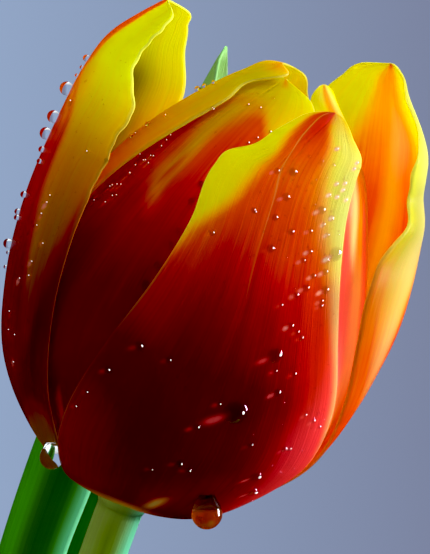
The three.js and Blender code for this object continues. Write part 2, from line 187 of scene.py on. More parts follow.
def mesh_object(name: str, points: Grid, faces: list[list[int]], uvs: Grid | None = None) -> Piece:
    """A smooth-shaded mesh object at the origin.

    Args:
        name: the piece's name.
        points: vertices in millimetres.
        faces: lists of vertex numbers, turning anticlockwise seen from outside.
        uvs: a place on the blade for each vertex.

    Returns:
        The new object, linked to the scene.
    """
    mesh = bpy.data.meshes.new(name)
    mesh.from_pydata((np.asarray(points) * MM).tolist(), [], faces)
    mesh.polygons.foreach_set("use_smooth", [True] * len(mesh.polygons))
    if uvs is not None:
        corners = np.empty(len(mesh.loops), np.int32)
        mesh.loops.foreach_get("vertex_index", corners)
        mesh.uv_layers.new(name="blade").data.foreach_set("uv", uvs[corners].ravel().astype(np.float32))
    mesh.validate()
    mesh.update()
    piece = bpy.data.objects.new(name, mesh)
    bpy.context.scene.collection.objects.link(piece)
    return piece


def paint(piece: Piece, **layers: Grid) -> None:
    """Stores one number for each vertex under each given name."""
    for name, values in layers.items():
        layer = piece.data.attributes.new(name, "FLOAT", "POINT")
        layer.data.foreach_set("value", np.asarray(values, np.float32))


def listed(grid: Grid, tip_column: int = 0) -> Grid:
    """A blade's grid as one list from its root on. Its last row is one place, read at the given column."""
    return np.concatenate([grid[:-1].reshape(-1, *grid.shape[2:]), grid[-1, tip_column][None]])


def paint_blade(piece: Piece, outer: dict[str, Grid], inner: dict[str, Grid]) -> None:
    """Stores grids of numbers for a blade's outer and inner face under each name."""
    paint(piece, **{name: np.concatenate([listed(outer[name]), listed(inner[name])]) for name in outer})


def shell(name: str, middle: Grid, thickness: Grid, share: Grid, across: Grid) -> Piece:
    """A closed thin shell round a sheet of points whose last row is its tip.

    Args:
        name: the piece's name.
        middle: rows of points from root to tip, each from the blade's left to its right seen from outside.
        thickness: the shell's thickness at each of them.
        share: their places along the blade.
        across: their places across it.

    Returns:
        The shell. Its outer vertices come first, then as many inner ones.
    """
    rows, columns = middle.shape[:2]
    tip = rows - 1
    outward = unit(np.cross(np.gradient(middle, axis=1), np.gradient(middle, axis=0)))
    outward[tip] = unit(outward[tip - 1].mean(axis=0))
    half = thickness[..., None] / 2
    centre = columns // 2
    points = np.vstack([listed(middle + outward * half, centre), listed(middle - outward * half, centre)])
    number = np.minimum(np.arange(rows * columns), tip * columns).reshape(rows, columns).tolist()
    count = tip * columns + 1

    outer = []
    for low, high in zip(number[:tip], number[1:]):
        for j in range(columns - 1):
            outer.append([low[j], low[j + 1], high[j + 1], high[j]][: 4 if high[j] < high[j + 1] else 3])
    inner = [[k + count for k in reversed(face)] for face in outer]
    loop = number[0] + [row[-1] for row in number[1:tip]] + [tip * columns]
    loop += [row[0] for row in number[tip - 1 : 0 : -1]]
    rim = [[q, p, p + count, q + count] for p, q in zip(loop, loop[1:] + loop[:1])]
    uvs = listed(np.stack([across / 2 + 0.5, share], axis=-1), centre)
    return mesh_object(name, points, outer + inner + rim, np.vstack([uvs, uvs]))


def tube_faces(rings: int, sides: int) -> list[list[int]]:
    """The faces between rings of vertices.

    Args:
        rings: how many rings there are. Their vertices are numbered ring by ring.
        sides: how many vertices a ring has, anticlockwise about the way that the rings follow each other.

    Returns:
        The faces, in the rings' order.
    """
    return [
        [a + j, a + (j + 1) % sides, a + sides + (j + 1) % sides, a + sides + j]
        for a in range(0, (rings - 1) * sides, sides)
        for j in range(sides)
    ]


def loft(name: str, rings: list[Grid], uvs: Grid | None = None) -> Piece:
    """A solid through rings of points, whose ends are closed by fans.

    Args:
        name: the piece's name.
        rings: rings with the same count of points, anticlockwise about the way they follow each other.
        uvs: a place on the skin for each vertex, with the two ends' middles last.

    Returns:
        The solid.
    """
    sides = len(rings[0])
    top = (len(rings) - 1) * sides
    base = len(rings) * sides
    faces = tube_faces(len(rings), sides)
    faces += [[base, (j + 1) % sides, j] for j in range(sides)]
    faces += [[base + 1, top + j, top + (j + 1) % sides] for j in range(sides)]
    return mesh_object(name, np.vstack([*rings, rings[0].mean(axis=0), rings[-1].mean(axis=0)]), faces, uvs)


def turned(name: str, outline: list[tuple[float, float]], sides: int) -> Piece:
    """A body of revolution about +Z.

    Args:
        name: the piece's name.
        outline: height and radius pairs that start and end on the axis, going round the body's outside.
        sides: how many sides a ring has.

    Returns:
        The body.
    """
    (bottom, _), *belt, (top, _) = outline
    last = 1 + (len(belt) - 1) * sides
    turns = circle(sides)
    ring_points = [(r * math.cos(a), r * math.sin(a), z) for z, r in belt for a in turns]
    faces = [[0, 1 + (j + 1) % sides, 1 + j] for j in range(sides)]
    faces += [[1 + corner for corner in face] for face in tube_faces(len(belt), sides)]
    faces += [[last + j, last + (j + 1) % sides, last + sides] for j in range(sides)]
    return mesh_object(name, np.array([(0, 0, bottom), *ring_points, (0, 0, top)], float), faces)


# Materials, and the nodes that make them.


class Layer(Enum):
    """What is painted on a tepal: heat, paleness and blush (partly painted highlight and glow), painted
    shade, glints and glow.
    """

    HEAT = "warmth"
    PALE = "pale"
    BLUSH_AND_GLOW = "blush_and_glow"
    SHADE = "shade"
    GLINT = "glint"
    GLEAM = "gleam"


HEAT, PALE, BLUSH_AND_GLOW, SHADE, GLINT, GLEAM = Layer


class Graph:
    """A node tree, with short ways to add to it. family starts the type name of every node that it adds."""

    family = ""

    def __init__(self, tree: bpy.types.NodeTree) -> None:
        """Starts with the given tree."""
        self.tree = tree

    def put(self, value: object, socket: Socket) -> None:
        """Links an output to an input, or gives the input a value. A colour gets its alpha."""
        if isinstance(value, Socket):
            self.tree.links.new(value, socket)
        elif socket.type == "RGBA":
            socket.default_value = (*value, 1)
        else:
            socket.default_value = value

    def add(self, kind: str, inputs: dict | None = None, **settings: object) -> bpy.types.Node:
        """Adds a node.

        Args:
            kind: the node's type name, without the class's family at its start.
            inputs: values or output sockets for its inputs, by name or number.
            settings: the node's own properties.

        Returns:
            The node.
        """
        node = self.tree.nodes.new(self.family + kind)
        for key, value in settings.items():
            setattr(node, key, value)
        for key, value in (inputs or {}).items():
            self.put(value, node.inputs[key])
        return node

    def made(self, kind: str, inputs: dict | None = None, **settings: object) -> Socket:
        """The first output of a new node."""
        return self.add(kind, inputs, **settings).outputs[0]


class ShaderTree(Graph):
    """The nodes of a material or world."""

    family = "ShaderNode"

    def __init__(self, owner: Material | bpy.types.World) -> None:
        """Empties the owner's tree."""
        owner.use_nodes = True
        owner.node_tree.nodes.clear()
        super().__init__(owner.node_tree)
        self.owner = owner

    def math(self, operation: str, *values: object) -> Socket:
        """The result of a Math node on numbers or sockets."""
        return self.made("Math", dict(enumerate(values)), operation=operation)

    def total(self, *terms: object) -> Socket:
        """The sum of sockets and numbers, where a pair stands for a socket times its weight."""
        first, *others = [self.math("MULTIPLY", *term) if isinstance(term, tuple) else term for term in terms]
        for other in others:
            first = self.math("ADD", first, other)
        return first

    def attribute(self, name: str) -> Socket:
        """A number that the mesh stores at its vertices."""
        return self.add("Attribute", attribute_name=name).outputs["Fac"]

    def blade(self, across: float, along: float, shift: float = 0) -> Socket:
        """The place on a blade, stretched by so much across and along it, and shifted."""
        uv = self.made("UVMap", uv_map="blade")
        scaled = {"Vector": uv, "Scale": (across, along, 1), "Location": (shift, shift, 0)}
        return self.made("Mapping", scaled)

    def place(self, scale: float) -> Socket:
        """The place in the object's own coordinates, times a scale."""
        spot = self.add("TexCoord").outputs["Object"]
        return self.made("Mapping", {"Vector": spot, "Scale": (scale, scale, scale)})

    def noise(self, vector: Socket, detail: float = 2, rough: float = 0.5) -> Socket:
        """Smooth noise from 0 to 1 round a half."""
        return self.made("TexNoise", {"Vector": vector, "Scale": 1.0, "Detail": detail, "Roughness": rough})

    def ramp(self, value: Socket, stops: Stops) -> Socket:
        """A colour looked up by a number, from stops of place and colour."""
        node = self.add("ValToRGB", {"Fac": value})
        elements = node.color_ramp.elements
        while len(elements) < len(stops):
            elements.new(0.5)
        for element, (place, colour) in zip(elements, stops):
            element.position = place
            element.color = (*colour, 1)
        return node.outputs["Color"]

    def mix(self, share: object, first: object, second: object) -> Socket:
        """Two colours mixed by a share of the second."""
        return self.add("Mix", {0: share, 6: first, 7: second}, data_type="RGBA").outputs[2]

    def bump(self, height: Socket, distance: float) -> Socket:
        """A normal roughened by a height, whose full range stands for a distance in metres."""
        return self.made("Bump", {"Height": height, "Distance": distance, "Strength": 1.0})

    def shared(self, share: object, first: object, second: object) -> Socket:
        """Two shaders mixed by a share of the second."""
        return self.made("MixShader", {0: share, 1: first, 2: second})

    def lit_through(self, glow: float, inputs: dict) -> Material:
        """Ends the tree in a skin that light shines through.

        Args:
            glow: the share of the light that comes through it.
            inputs: the inputs of its surface, among them its colour and normal.

        Returns:
            The material.
        """
        # Light that comes through crosses the pigment once and not twice, so it takes the colour's root.
        halfway = self.made("Gamma", {"Color": inputs["Base Color"], "Gamma": 0.5})
        through = self.made("BsdfTranslucent", {"Color": halfway, "Normal": inputs["Normal"]})
        return self.finish(self.shared(glow, self.made("BsdfPrincipled", inputs), through))

    def finish(self, surface: Socket, end: str = "OutputMaterial") -> bpy.types.ID:
        """Ends the tree in the given shader and returns its material or world."""
        self.add(end, {"Surface": surface})
        return self.owner


@dataclass(frozen=True)
class Finish:
    """What a surface is made of."""

    name: str

    def start(self) -> ShaderTree:
        """The empty nodes of a new material."""
        return ShaderTree(bpy.data.materials.new(self.name))

    def material(self) -> Material:
        """Builds the material."""
        raise NotImplementedError


@dataclass(frozen=True)
class TepalSkin(Finish):
    """The satin skin of a tepal, which turns from yellow through orange and red to maroon with its heat.

    glow is the share of light that comes through. cream, rose, shadow and light are the colours that the
    pale, rosy, shade and glint layers turn it to: the shade layer is painted shade, the glint layer painted
    light, and the pale and rosy layers are partly painted highlight. gleam is the strength of the painted
    glow that the gleam layer gives off as light of its own.
    streaks and hairlines are counted over the width and the length, with the pattern's shift last, and
    blotches and cells over a metre. relief is a height in metres.
    """

    roughness: float = 0.27
    vein_roughness: float = 0.18
    glow: float = 0.5
    stops: Stops = (
        (0.0, (0.71, 0.82, 0.0)),
        (0.16, (0.84, 0.60, 0.0)),
        (0.32, (0.86, 0.32, 0.0)),
        (0.46, (0.74, 0.10, 0.0)),
        (0.60, (0.60, 0.018, 0.002)),
        (0.78, (0.33, 0.002, 0.004)),
        (1.0, (0.12, 0.0, 0.003)),
    )
    cream: Colour = (0.74, 0.80, 0.30)
    rose: Colour = (0.94, 0.05, 0.09)
    shadow: Colour = (0.006, 0.001, 0.0)
    light: Colour = (1.0, 0.82, 0.78)
    gleam: float = 1.1
    streaks: tuple[float, float] = (46, 2.4)
    hairlines: tuple[float, float, float] = (150, 6, 3)
    blotches: float = 140
    cells: float = 2600
    relief: float = 0.00022

    def material(self) -> Material:
        """Builds the material."""
        n = self.start()
        streaks = n.noise(n.blade(*self.streaks), 3, 0.6)
        fine = n.noise(n.blade(*self.hairlines), 2, 0.6)
        blotch = n.noise(n.place(self.blotches))
        streaks_and_hairs = n.total(n.math("SUBTRACT", streaks, 0.5), (n.math("SUBTRACT", fine, 0.5), 0.55))
        spots = (n.math("SUBTRACT", blotch, 0.5), 0.1)
        wander = n.total((streaks_and_hairs, n.attribute("streaky")), spots)
        colour = n.ramp(n.total(n.attribute(HEAT.value), wander), self.stops)
        # The shade layer mixes in painted shade and the glint layer painted light; the pale and rosy layers
        # are partly painted highlight.
        tints = {BLUSH_AND_GLOW: self.rose, PALE: self.cream, SHADE: self.shadow, GLINT: self.light}
        for layer, tint in tints.items():
            colour = n.mix(n.attribute(layer.value), colour, tint)
        veins = n.total((streaks, 0.6), (fine, 0.4))
        height = n.total((veins, 0.8), (n.noise(n.place(self.cells), 1), 0.12))
        return n.lit_through(self.glow, {
            "Base Color": colour,
            "Roughness": n.total((veins, self.vein_roughness), self.roughness),
            "Normal": n.bump(height, self.relief),
            "Specular IOR Level": 0.25,
            # Painted glow: where the gleam layer is painted, the skin gives off light of its own.
            "Emission Color": n.mix(n.attribute(GLEAM.value), (0.0, 0.0, 0.0), colour),
            "Emission Strength": self.gleam,
        })


@dataclass(frozen=True)
class GreenSkin(Finish):
    """The waxy skin of a stem or leaf, with fine veins along it.

    dark and light are the green's two ends. The pale, mint and shade layers turn it to a paler green, partly
    painted light; to a waxy bluish green, for a painted highlight, which also tints its sheen; and to shadow,
    for painted shade. veins are counted over the width and the length, clouds and cells over a metre.
    """

    dark: Colour
    light: Colour
    veins: tuple[float, float]
    roughness: float = 0.26
    cloud_roughness: float = 0.16
    glow: float = 0.2
    paler_green: Colour = (0.55, 0.72, 0.25)
    wax_and_highlight: Colour = (0.12, 0.66, 0.42)
    shadow: Colour = (0.0, 0.012, 0.001)
    clouds: float = 45
    cells: float = 3000
    relief: float = 0.00016

    def material(self) -> Material:
        """Builds the material."""
        n = self.start()
        veins = n.noise(n.blade(*self.veins), 3, 0.55)
        clouds = n.noise(n.place(self.clouds))
        colour = n.ramp(n.total((veins, 0.6), (clouds, 0.5)), ((0.3, self.dark), (0.75, self.light)))
        # The pale layer is partly painted light, the mint layer a painted highlight and the shade layer
        # painted shade.
        for layer, tint in (("pale", self.paler_green), ("mint_highlight", self.wax_and_highlight), ("shade", self.shadow)):
            colour = n.mix(n.attribute(layer), colour, tint)
        height = n.total(veins, (n.noise(n.place(self.cells), 1), 0.15))
        return n.lit_through(self.glow, {
            "Base Color": colour,
            "Roughness": n.total((clouds, self.cloud_roughness), self.roughness),
            "Normal": n.bump(height, self.relief),
            "Specular IOR Level": 0.4,
            "Sheen Weight": 0.08,
            "Sheen Roughness": 0.35,
            "Sheen Tint": self.wax_and_highlight,
        })


@dataclass(frozen=True)
class Clear(Finish):
    """Clear water or glass.

    A cloudy one scatters the share cloud of the light inside it, in the colour body with swirls counted over
    a metre; in a drop, this colour is painted in for the bloom seen through it. Where the piece's veil layer
    is
    1 it scatters the share veil in the colour crown instead: a painted reflection of the dark petal above the
    drop. shine is the share of plain gloss over all.
    """

    ior: float
    colour: Colour
    cloud: float = 0.0
    body: Colour = (0.0, 0.0, 0.0)
    crown: Colour = (0.05, 0.0, 0.003)
    veil: float = 0.9
    swirls: float = 500
    shine: float = 0.1

    def material(self) -> Material:
        """Builds the material."""
        n = self.start()
        clear = n.made("BsdfPrincipled", {
            "Base Color": self.colour,
            "Roughness": 0.0,
            "IOR": self.ior,
            "Transmission Weight": 1.0,
        })
        if not self.cloud:
            return n.finish(clear)
        # Painted colour: the cloudy body stands in for the bloom seen through the drop, and the veil layer's
        # dark top is a painted reflection of the petal above it.
        tinge = n.mix(n.noise(n.place(self.swirls)), tuple(0.5 * c for c in self.body), self.body)
        tinge = n.mix(n.attribute("veil"), tinge, self.crown)
        share = n.math("MAXIMUM", n.math("MULTIPLY", n.attribute("veil"), self.veil), self.cloud)
        soft = n.shared(share, clear, n.made("BsdfTranslucent", {"Color": tinge}))
        gloss = n.made("BsdfAnisotropic", {"Color": (1, 1, 1), "Roughness": 0.1})
        return n.finish(n.shared(self.shine, soft, gloss))


@dataclass(frozen=True)
class PaintedGlintFinish(Finish):
    """Painted glints on drops of water, where the window would show in them: a finish that glows with its own
    light.
    """

    colour: Colour = (1.0, 0.92, 0.94)
    strength: float = 0.7

    def material(self) -> Material:
        """Builds the material."""
        n = self.start()
        return n.finish(n.made("BsdfPrincipled", {
            "Base Color": self.colour,
            "Roughness": 0.4,
            # Painted glint: the finish gives off light of its own.
            "Emission Color": self.colour,
            "Emission Strength": self.strength,
        }))


@dataclass(frozen=True)
class Film(Finish):
    """Water so thin that the skin shows straight through it, and only its rosy shine is seen."""

    colour: Colour = (1.0, 0.45, 0.8)
    shine: float = 0.14

    def material(self) -> Material:
        """Builds the material."""
        n = self.start()
        return n.finish(n.made("BsdfPrincipled", {
            "Base Color": self.colour,
            "Metallic": 1.0,
            "Roughness": 0.07,
            "Alpha": self.shine,
        }))


@dataclass(frozen=True)
class Powder(Finish):
    """A soft, speckled finish such as pollen or a stigma's. grain is the count of specks over a metre."""

    dark: Colour
    light: Colour
    grain: float
    roughness: float = 0.8
    relief: float = 0.0002

    def material(self) -> Material:
        """Builds the material."""
        n = self.start()
        specks = n.noise(n.place(self.grain), 4, 0.7)
        clouds = n.noise(n.place(self.grain / 8))
        return n.finish(n.made("BsdfPrincipled", {
            "Base Color": n.ramp(n.mix(0.5, specks, clouds), ((0.38, self.dark), (0.62, self.light))),
            "Roughness": self.roughness,
            "Normal": n.bump(specks, self.relief),
            "Sheen Weight": 0.15,
        }))


@dataclass(frozen=True)
class Plaster(Finish):
    """The pale, matt finish of the studio's floor, a little uneven."""

    colour: Colour
    unevenness: float = 0.03
    clouds: float = 6

    def material(self) -> Material:
        """Builds the material."""
        n = self.start()
        darker = tuple((1 - self.unevenness) * c for c in self.colour)
        shade = n.mix(n.noise(n.place(self.clouds)), darker, self.colour)
        return n.finish(n.made("BsdfPrincipled", {"Base Color": shade, "Roughness": 0.7}))


# The plant.


@dataclass(frozen=True)
class Stroke:
    """A soft stroke along a tepal that pulls one layer to a value.

    rows holds the share of the length, the place across from -1 to 1, the half width there, and the strength.
    """

    layer: Layer
    value: float
    rows: Rows

    def mask(self, share: Grid, across: Grid) -> Grid:
        """How strongly the stroke covers each place, from 0 to 1."""
        centre, half, strength = np.moveaxis(smooth(self.rows, share), -1, 0)
        inside = (share >= self.rows[0][0]) & (share <= self.rows[-1][0])
        soft = np.exp(-((across - centre) / np.maximum(half, 0.004)) ** 2)
        return np.clip(strength, 0, 1) * inside * soft


@dataclass(frozen=True)
class Flame:
    """The red flame on one face of a tepal, with strokes over it in order.

    rows holds the share of the length, the flame's left and right edges from -1 to 1, the heat inside it and
    the heat of the margins beside it. feather is the width over which one turns into the other.
    """

    rows: Rows
    feather: float = 0.22
    strokes: tuple[Stroke, ...] = ()

    def layers(self, share: Grid, across: Grid) -> dict[Layer, Grid]:
        """The value of every layer at each place on the face."""
        left, right, core, margin = np.moveaxis(smooth(self.rows, share), -1, 0)
        depth = np.minimum(across - left, right - across)
        painted = {layer: np.zeros_like(across) for layer in Layer}
        painted[HEAT] = margin + (core - margin) * fade(depth, -self.feather / 2, self.feather / 2)
        for stroke in self.strokes:
            layer = painted[stroke.layer]
            painted[stroke.layer] = layer + (stroke.value - layer) * stroke.mask(share, across)
        return painted


@dataclass(frozen=True)
class Relief:
    """Small forms of a tepal's sheet, in millimetres: its furrows, its midrib's groove and its waves.

    furrow_count is over the width, and rib_width in places across. The margins' waves start at the share
    wave_start, and waves is their number over the whole length.
    """

    furrows: float = 0.1
    furrow_count: float = 7
    rib: float = 0.18
    rib_width: float = 0.045
    left_wave: float = 0.0
    right_wave: float = 0.0
    waves: float = 9
    wave_start: float = 0.5

    def forms(self, share: Grid, across: Grid) -> tuple[Grid, Grid, Grid]:
        """How far the furrows, the groove and the waves stand out at each place."""
        body = np.sin(math.pi * np.clip(share, 0, 1)) ** 0.7
        furrows = -self.furrows * (0.5 - 0.5 * np.cos(2 * math.pi * self.furrow_count * across * 0.5)) * body
        groove = -self.rib * np.exp(-((across / self.rib_width) ** 2)) * fade(share, 0.1, 0.3)
        wave = np.where(across < 0, self.left_wave, self.right_wave) * np.abs(across) ** 5
        wave *= fade(share, self.wave_start, self.wave_start + 0.2)
        long = np.sin(2 * math.pi * self.waves * share)
        short = np.sin(5.3 * math.pi * self.waves * share + 1)
        return furrows, groove, wave * (long + 0.5 * short)


@dataclass(frozen=True, kw_only=True)
class Blade:
    """A thin sheet that thins out to its margins and its tip.

    The tip rounds off from rounding's first share on, to the power of its second number, and thins from
    tip_start on. The margins thin with the power taper_power of the place across.
    """

    name: str
    thickness: float = 0.7
    rim_thickness: float = 0.32
    rounding: tuple[float, float]
    taper_power: float = 6
    tip_start: float = 0.9
    rim_paleness: float = 0.3

    def rim(self, across: Grid) -> Grid:
        """How pale the margin itself is."""
        return fade(np.abs(across), 0.97, 1.0) * self.rim_paleness

    def covered(self, name: str, sheet: Grid, share: Grid, across: Grid) -> Piece:
        """The shell of a sheet of points at the given places on the blade."""
        taper = np.maximum(np.abs(across) ** self.taper_power, fade(share, self.tip_start, 1))
        thickness = self.thickness + (self.rim_thickness - self.thickness) * taper
        return shell(name, sheet, thickness, share, across)


@dataclass(frozen=True, kw_only=True)
class Tepal(Blade):
    """One of the six tepals.

    stations run from root to tip: height and radius of the rib in the bloom's frame, azimuth of the rib, then
    the half angle that the tepal spans on its left and how far that margin stands out, and the same on its
    right. margin_power is how late the margins begin to stand out, and row_crowding how much closer the rows
    lie at the tip.
    """

    slot: str
    stations: Rows
    outside: Flame
    inside: Flame
    relief: Relief = Relief()
    row_count: int = 120
    column_count: int = 64
    margin_power: float = 2.2
    row_crowding: float = 1.5

    def surface(self, share: Grid, across: Grid) -> Grid:
        """The middle of the tepal's sheet.

        Args:
            share: shares of its length.
            across: places across it, of the same shape.

        Returns:
            The points, in the last dimension.
        """
        table = np.asarray(self.stations, float)
        steps = np.hypot(np.diff(table[:, 0]), np.diff(table[:, 1]))
        length = np.concatenate([[0], np.cumsum(steps)])
        rows = np.column_stack([length / length[-1], table])
        height, radius, azimuth, left, left_out, right, right_out = np.moveaxis(smooth(rows, share), -1, 0)
        kept = tip_share(share, *self.rounding)
        span = np.where(across < 0, left, right)
        out = np.where(across < 0, left_out, right_out) * np.abs(across) ** self.margin_power
        standing = radius + kept * sum((out, *self.relief.forms(share, across)))
        return in_bloom(height, standing, np.radians(azimuth + across * span * kept))

    def build(self) -> Piece:
        """Makes the tepal's shell and paints its two faces."""
        crowded = 1 - (1 - np.linspace(0, 1, self.row_count + 1)) ** self.row_crowding
        share, across = np.meshgrid(crowded, np.linspace(-1, 1, self.column_count + 1), indexing="ij")
        piece = self.covered(self.name, self.surface(share, across), share, across)
        faces = []
        for flame in (self.outside, self.inside):
            # The margin is palest where the skin is coolest, and streaks show between yellow and maroon.
            layers = flame.layers(share, across)
            heat = layers[HEAT]
            layers[PALE] = np.maximum(layers[PALE], self.rim(across) * np.clip(1.15 - heat, 0, 1))
            streaky = 0.1 + 0.5 * np.clip(heat * (1.1 - heat), 0, 1)
            faces.append({"streaky": streaky, **{layer.value: grid for layer, grid in layers.items()}})
        paint_blade(piece, *faces)
        return piece


@dataclass(frozen=True, kw_only=True)
class Leaf(Blade):
    """A channelled leaf that clasps the stem.

    root is the share of the stem's curve that it grows from, sheath the millimetres that it first runs along
    the stem, and keel the two last control points of its own curve. lift tilts the opening of its channel
    upwards. stations run from root to tip: share of the keel, radius of the channel, half angle that the
    blade spans round it, and the azimuth in plan that the channel opens towards. band is how dark the painted
    shade is in a band on each side of its back, and lining how dark the painted shade on its inner face is.
    """

    root: float
    sheath: float
    lift: float
    keel: Rows
    stations: Rows
    rounding: tuple[float, float] = (0.94, 0.7)
    rim_thickness: float = 0.4
    tip_start: float = 0.93
    band: float = 0.7
    lining: float = 0.42
    row_count: int = 150
    column_count: int = 40

    def opening(self, azimuth: Grid, along: Grid) -> Grid:
        """The direction in which the channel opens, square to the way the blade runs."""
        turn = np.radians(azimuth)
        way = np.stack([np.cos(turn), np.sin(turn), np.full_like(turn, self.lift)], axis=-1)
        return unit(way - (way * along).sum(-1, keepdims=True) * along)

    def build(self) -> Piece:
        """Makes the leaf's shell and paints its two faces."""
        place, grain = stem_curve(np.array(self.root))
        start = place - self.stations[0][1] * self.opening(np.array(self.stations[0][3], float), grain)
        t = np.linspace(0, 1, self.row_count + 1)
        radius, span, azimuth = (v[:, None] for v in np.moveaxis(smooth(self.stations, t), -1, 0))
        middle, along = bezier([start, start + self.sheath * grain, *self.keel], t)
        opening = self.opening(azimuth[:, 0], along)
        side = np.cross(along, opening)
        share, across = np.meshgrid(t, np.linspace(-1, 1, self.column_count + 1), indexing="ij")
        angle = np.radians(span) * tip_share(t, *self.rounding)[:, None] * across
        sheet = (
            middle[:, None]
            + opening[:, None] * (radius * (1 - np.cos(angle)))[..., None]
            - side[:, None] * (radius * np.sin(angle))[..., None]
        )
        piece = self.covered(self.name + "_fine", sheet, share, across)
        edge = np.abs(across)
        # The tip is painted paler, as light shines through it there, and the painted shade fades out.
        paler_green = fade(share, 0.82, 0.93)
        # Painted shade: a dark band on each side of the back and over the inner face. Painted highlight: a
        # mint band at the back's margins.
        band = self.band * fade(edge, 0.42, 0.62) * fade(edge, 0.92, 0.8)
        outer = {
            "pale": np.maximum(self.rim(across), paler_green * 0.35),
            "shade": band * (1 - paler_green),
            "mint_highlight": 0.6 * fade(edge, 0.84, 0.97) * (1 - 0.7 * paler_green),
        }
        inner = {"pale": paler_green * 0.4, "shade": self.lining * (1 - paler_green), "mint_highlight": 0.1 * paler_green}
        paint_blade(piece, outer, inner)
        return piece


@dataclass(frozen=True)
class Stem:
    """The round stem and the receptacle that it swells into under the tepals.

    The receptacle takes over at the share top of the stem's curve. Its rows hold a height in the bloom and a
    radius.
    """

    sides: int = 40
    ring_count: int = 160
    top: float = 0.985
    receptacle: Rows = ((-3.2, 3.62), (-2.2, 3.95), (-1.4, 4.3), (-1, 4.4), (-0.98, 1.6), (1.9, 1.6))

    def ring(self, centre: Grid, along: Grid, radius: float) -> Grid:
        """A ring of points square to the stem."""
        side = unit(np.cross((0.0, 1.0, 0.0), along))
        turns = circle(self.sides)[:, None]
        return centre + radius * (np.cos(turns) * side + np.sin(turns) * np.cross(along, side))

    def build(self) -> Piece:
        """Makes the stem, with a painted mint highlight on its right, painted light on its left, a paler top,
        and a painted dark line of shade beside its front.
        """
        places, ways = stem_curve(np.linspace(0, self.top, self.ring_count))
        rings = [self.ring(p, w, STEM_RADIUS) for p, w in zip(places, ways)]
        rings += [self.ring(BLOOM_BASE + h * AXIS, AXIS, r) for h, r in self.receptacle]
        count = len(rings) * self.sides + 2
        number = np.minimum(np.arange(count) // self.sides, len(rings) - 1)
        turn = np.arange(count) % self.sides / self.sides
        piece = loft("stem_fine", rings, np.stack([np.abs(turn * 2 - 1), number / len(rings)], axis=-1))
        # Painted light and shade: a mint highlight on the right, light on the left and a dark line beside the
        # front.
        edge = np.abs(turn - 0.5) * 2
        dark = np.exp(-(((turn - 0.79) / 0.09) ** 2)) * 0.3
        paler_green = fade(number, len(rings) - 12, len(rings) - 5) * 0.3
        light = np.maximum(paler_green, np.exp(-((edge / 0.3) ** 2)) * 0.4)
        paint(piece, pale=light, mint_highlight=fade(edge, 0.54, 0.85) * 0.85, shade=dark)
        return piece


def evaluated(piece: Piece, name: str) -> Piece:
    """A plain mesh object of what a piece's modifiers make, in place of the piece."""
    graph = bpy.context.evaluated_depsgraph_get()
    mesh = bpy.data.meshes.new_from_object(piece.evaluated_get(graph))
    mesh.name = name
    bpy.data.objects.remove(piece)
    made = bpy.data.objects.new(name, mesh)
    bpy.context.scene.collection.objects.link(made)
    return made


class GeometryTree(Graph):
    """A Geometry Nodes tree that makes one piece."""

    def __init__(self, name: str, **inputs: float | int) -> None:
        """Starts a tree with a geometry input and the given named numbers."""
        group = bpy.data.node_groups.new(name, "GeometryNodeTree")
        super().__init__(group)
        for way in ("INPUT", "OUTPUT"):
            group.interface.new_socket("Geometry", in_out=way, socket_type="NodeSocketGeometry")
        self.numbers = {}
        for key, value in inputs.items():
            kind = "NodeSocketInt" if isinstance(value, int) else "NodeSocketFloat"
            socket = group.interface.new_socket(key, in_out="INPUT", socket_type=kind)
            socket.default_value = value
            self.numbers[socket.identifier] = value
        self.source = group.nodes.new("NodeGroupInput").outputs

    def vector(self, **parts: object) -> Socket:
        """A vector of numbers or sockets by the names of its axes."""
        return self.made("ShaderNodeCombineXYZ", parts)

    def math(self, operation: str, first: object, second: object) -> Socket:
        """The result of a Math node."""
        return self.made("ShaderNodeMath", {0: first, 1: second}, operation=operation)

    def finish(self, piece: Piece, geometry: Socket, material: Material) -> Piece:
        """Realizes the instances, sets the material and turns the result into a plain mesh.

        Args:
            piece: the object that the tree works on, which is used up.
            geometry: the tree's last geometry.
            material: the finish of the result.

        Returns:
            The finished piece.
        """
        real = self.made("GeometryNodeRealizeInstances", {"Geometry": geometry})
        shaded = self.made("GeometryNodeSetShadeSmooth", {"Geometry": real})
        dressed = self.made("GeometryNodeSetMaterial", {"Geometry": shaded, "Material": material})
        self.tree.links.new(dressed, self.tree.nodes.new("NodeGroupOutput").inputs[0])
        modifier = piece.modifiers.new(self.tree.name, "NODES")
        modifier.node_group = self.tree
        for identifier, value in self.numbers.items():
            modifier[identifier] = value
        return evaluated(piece, piece.name)


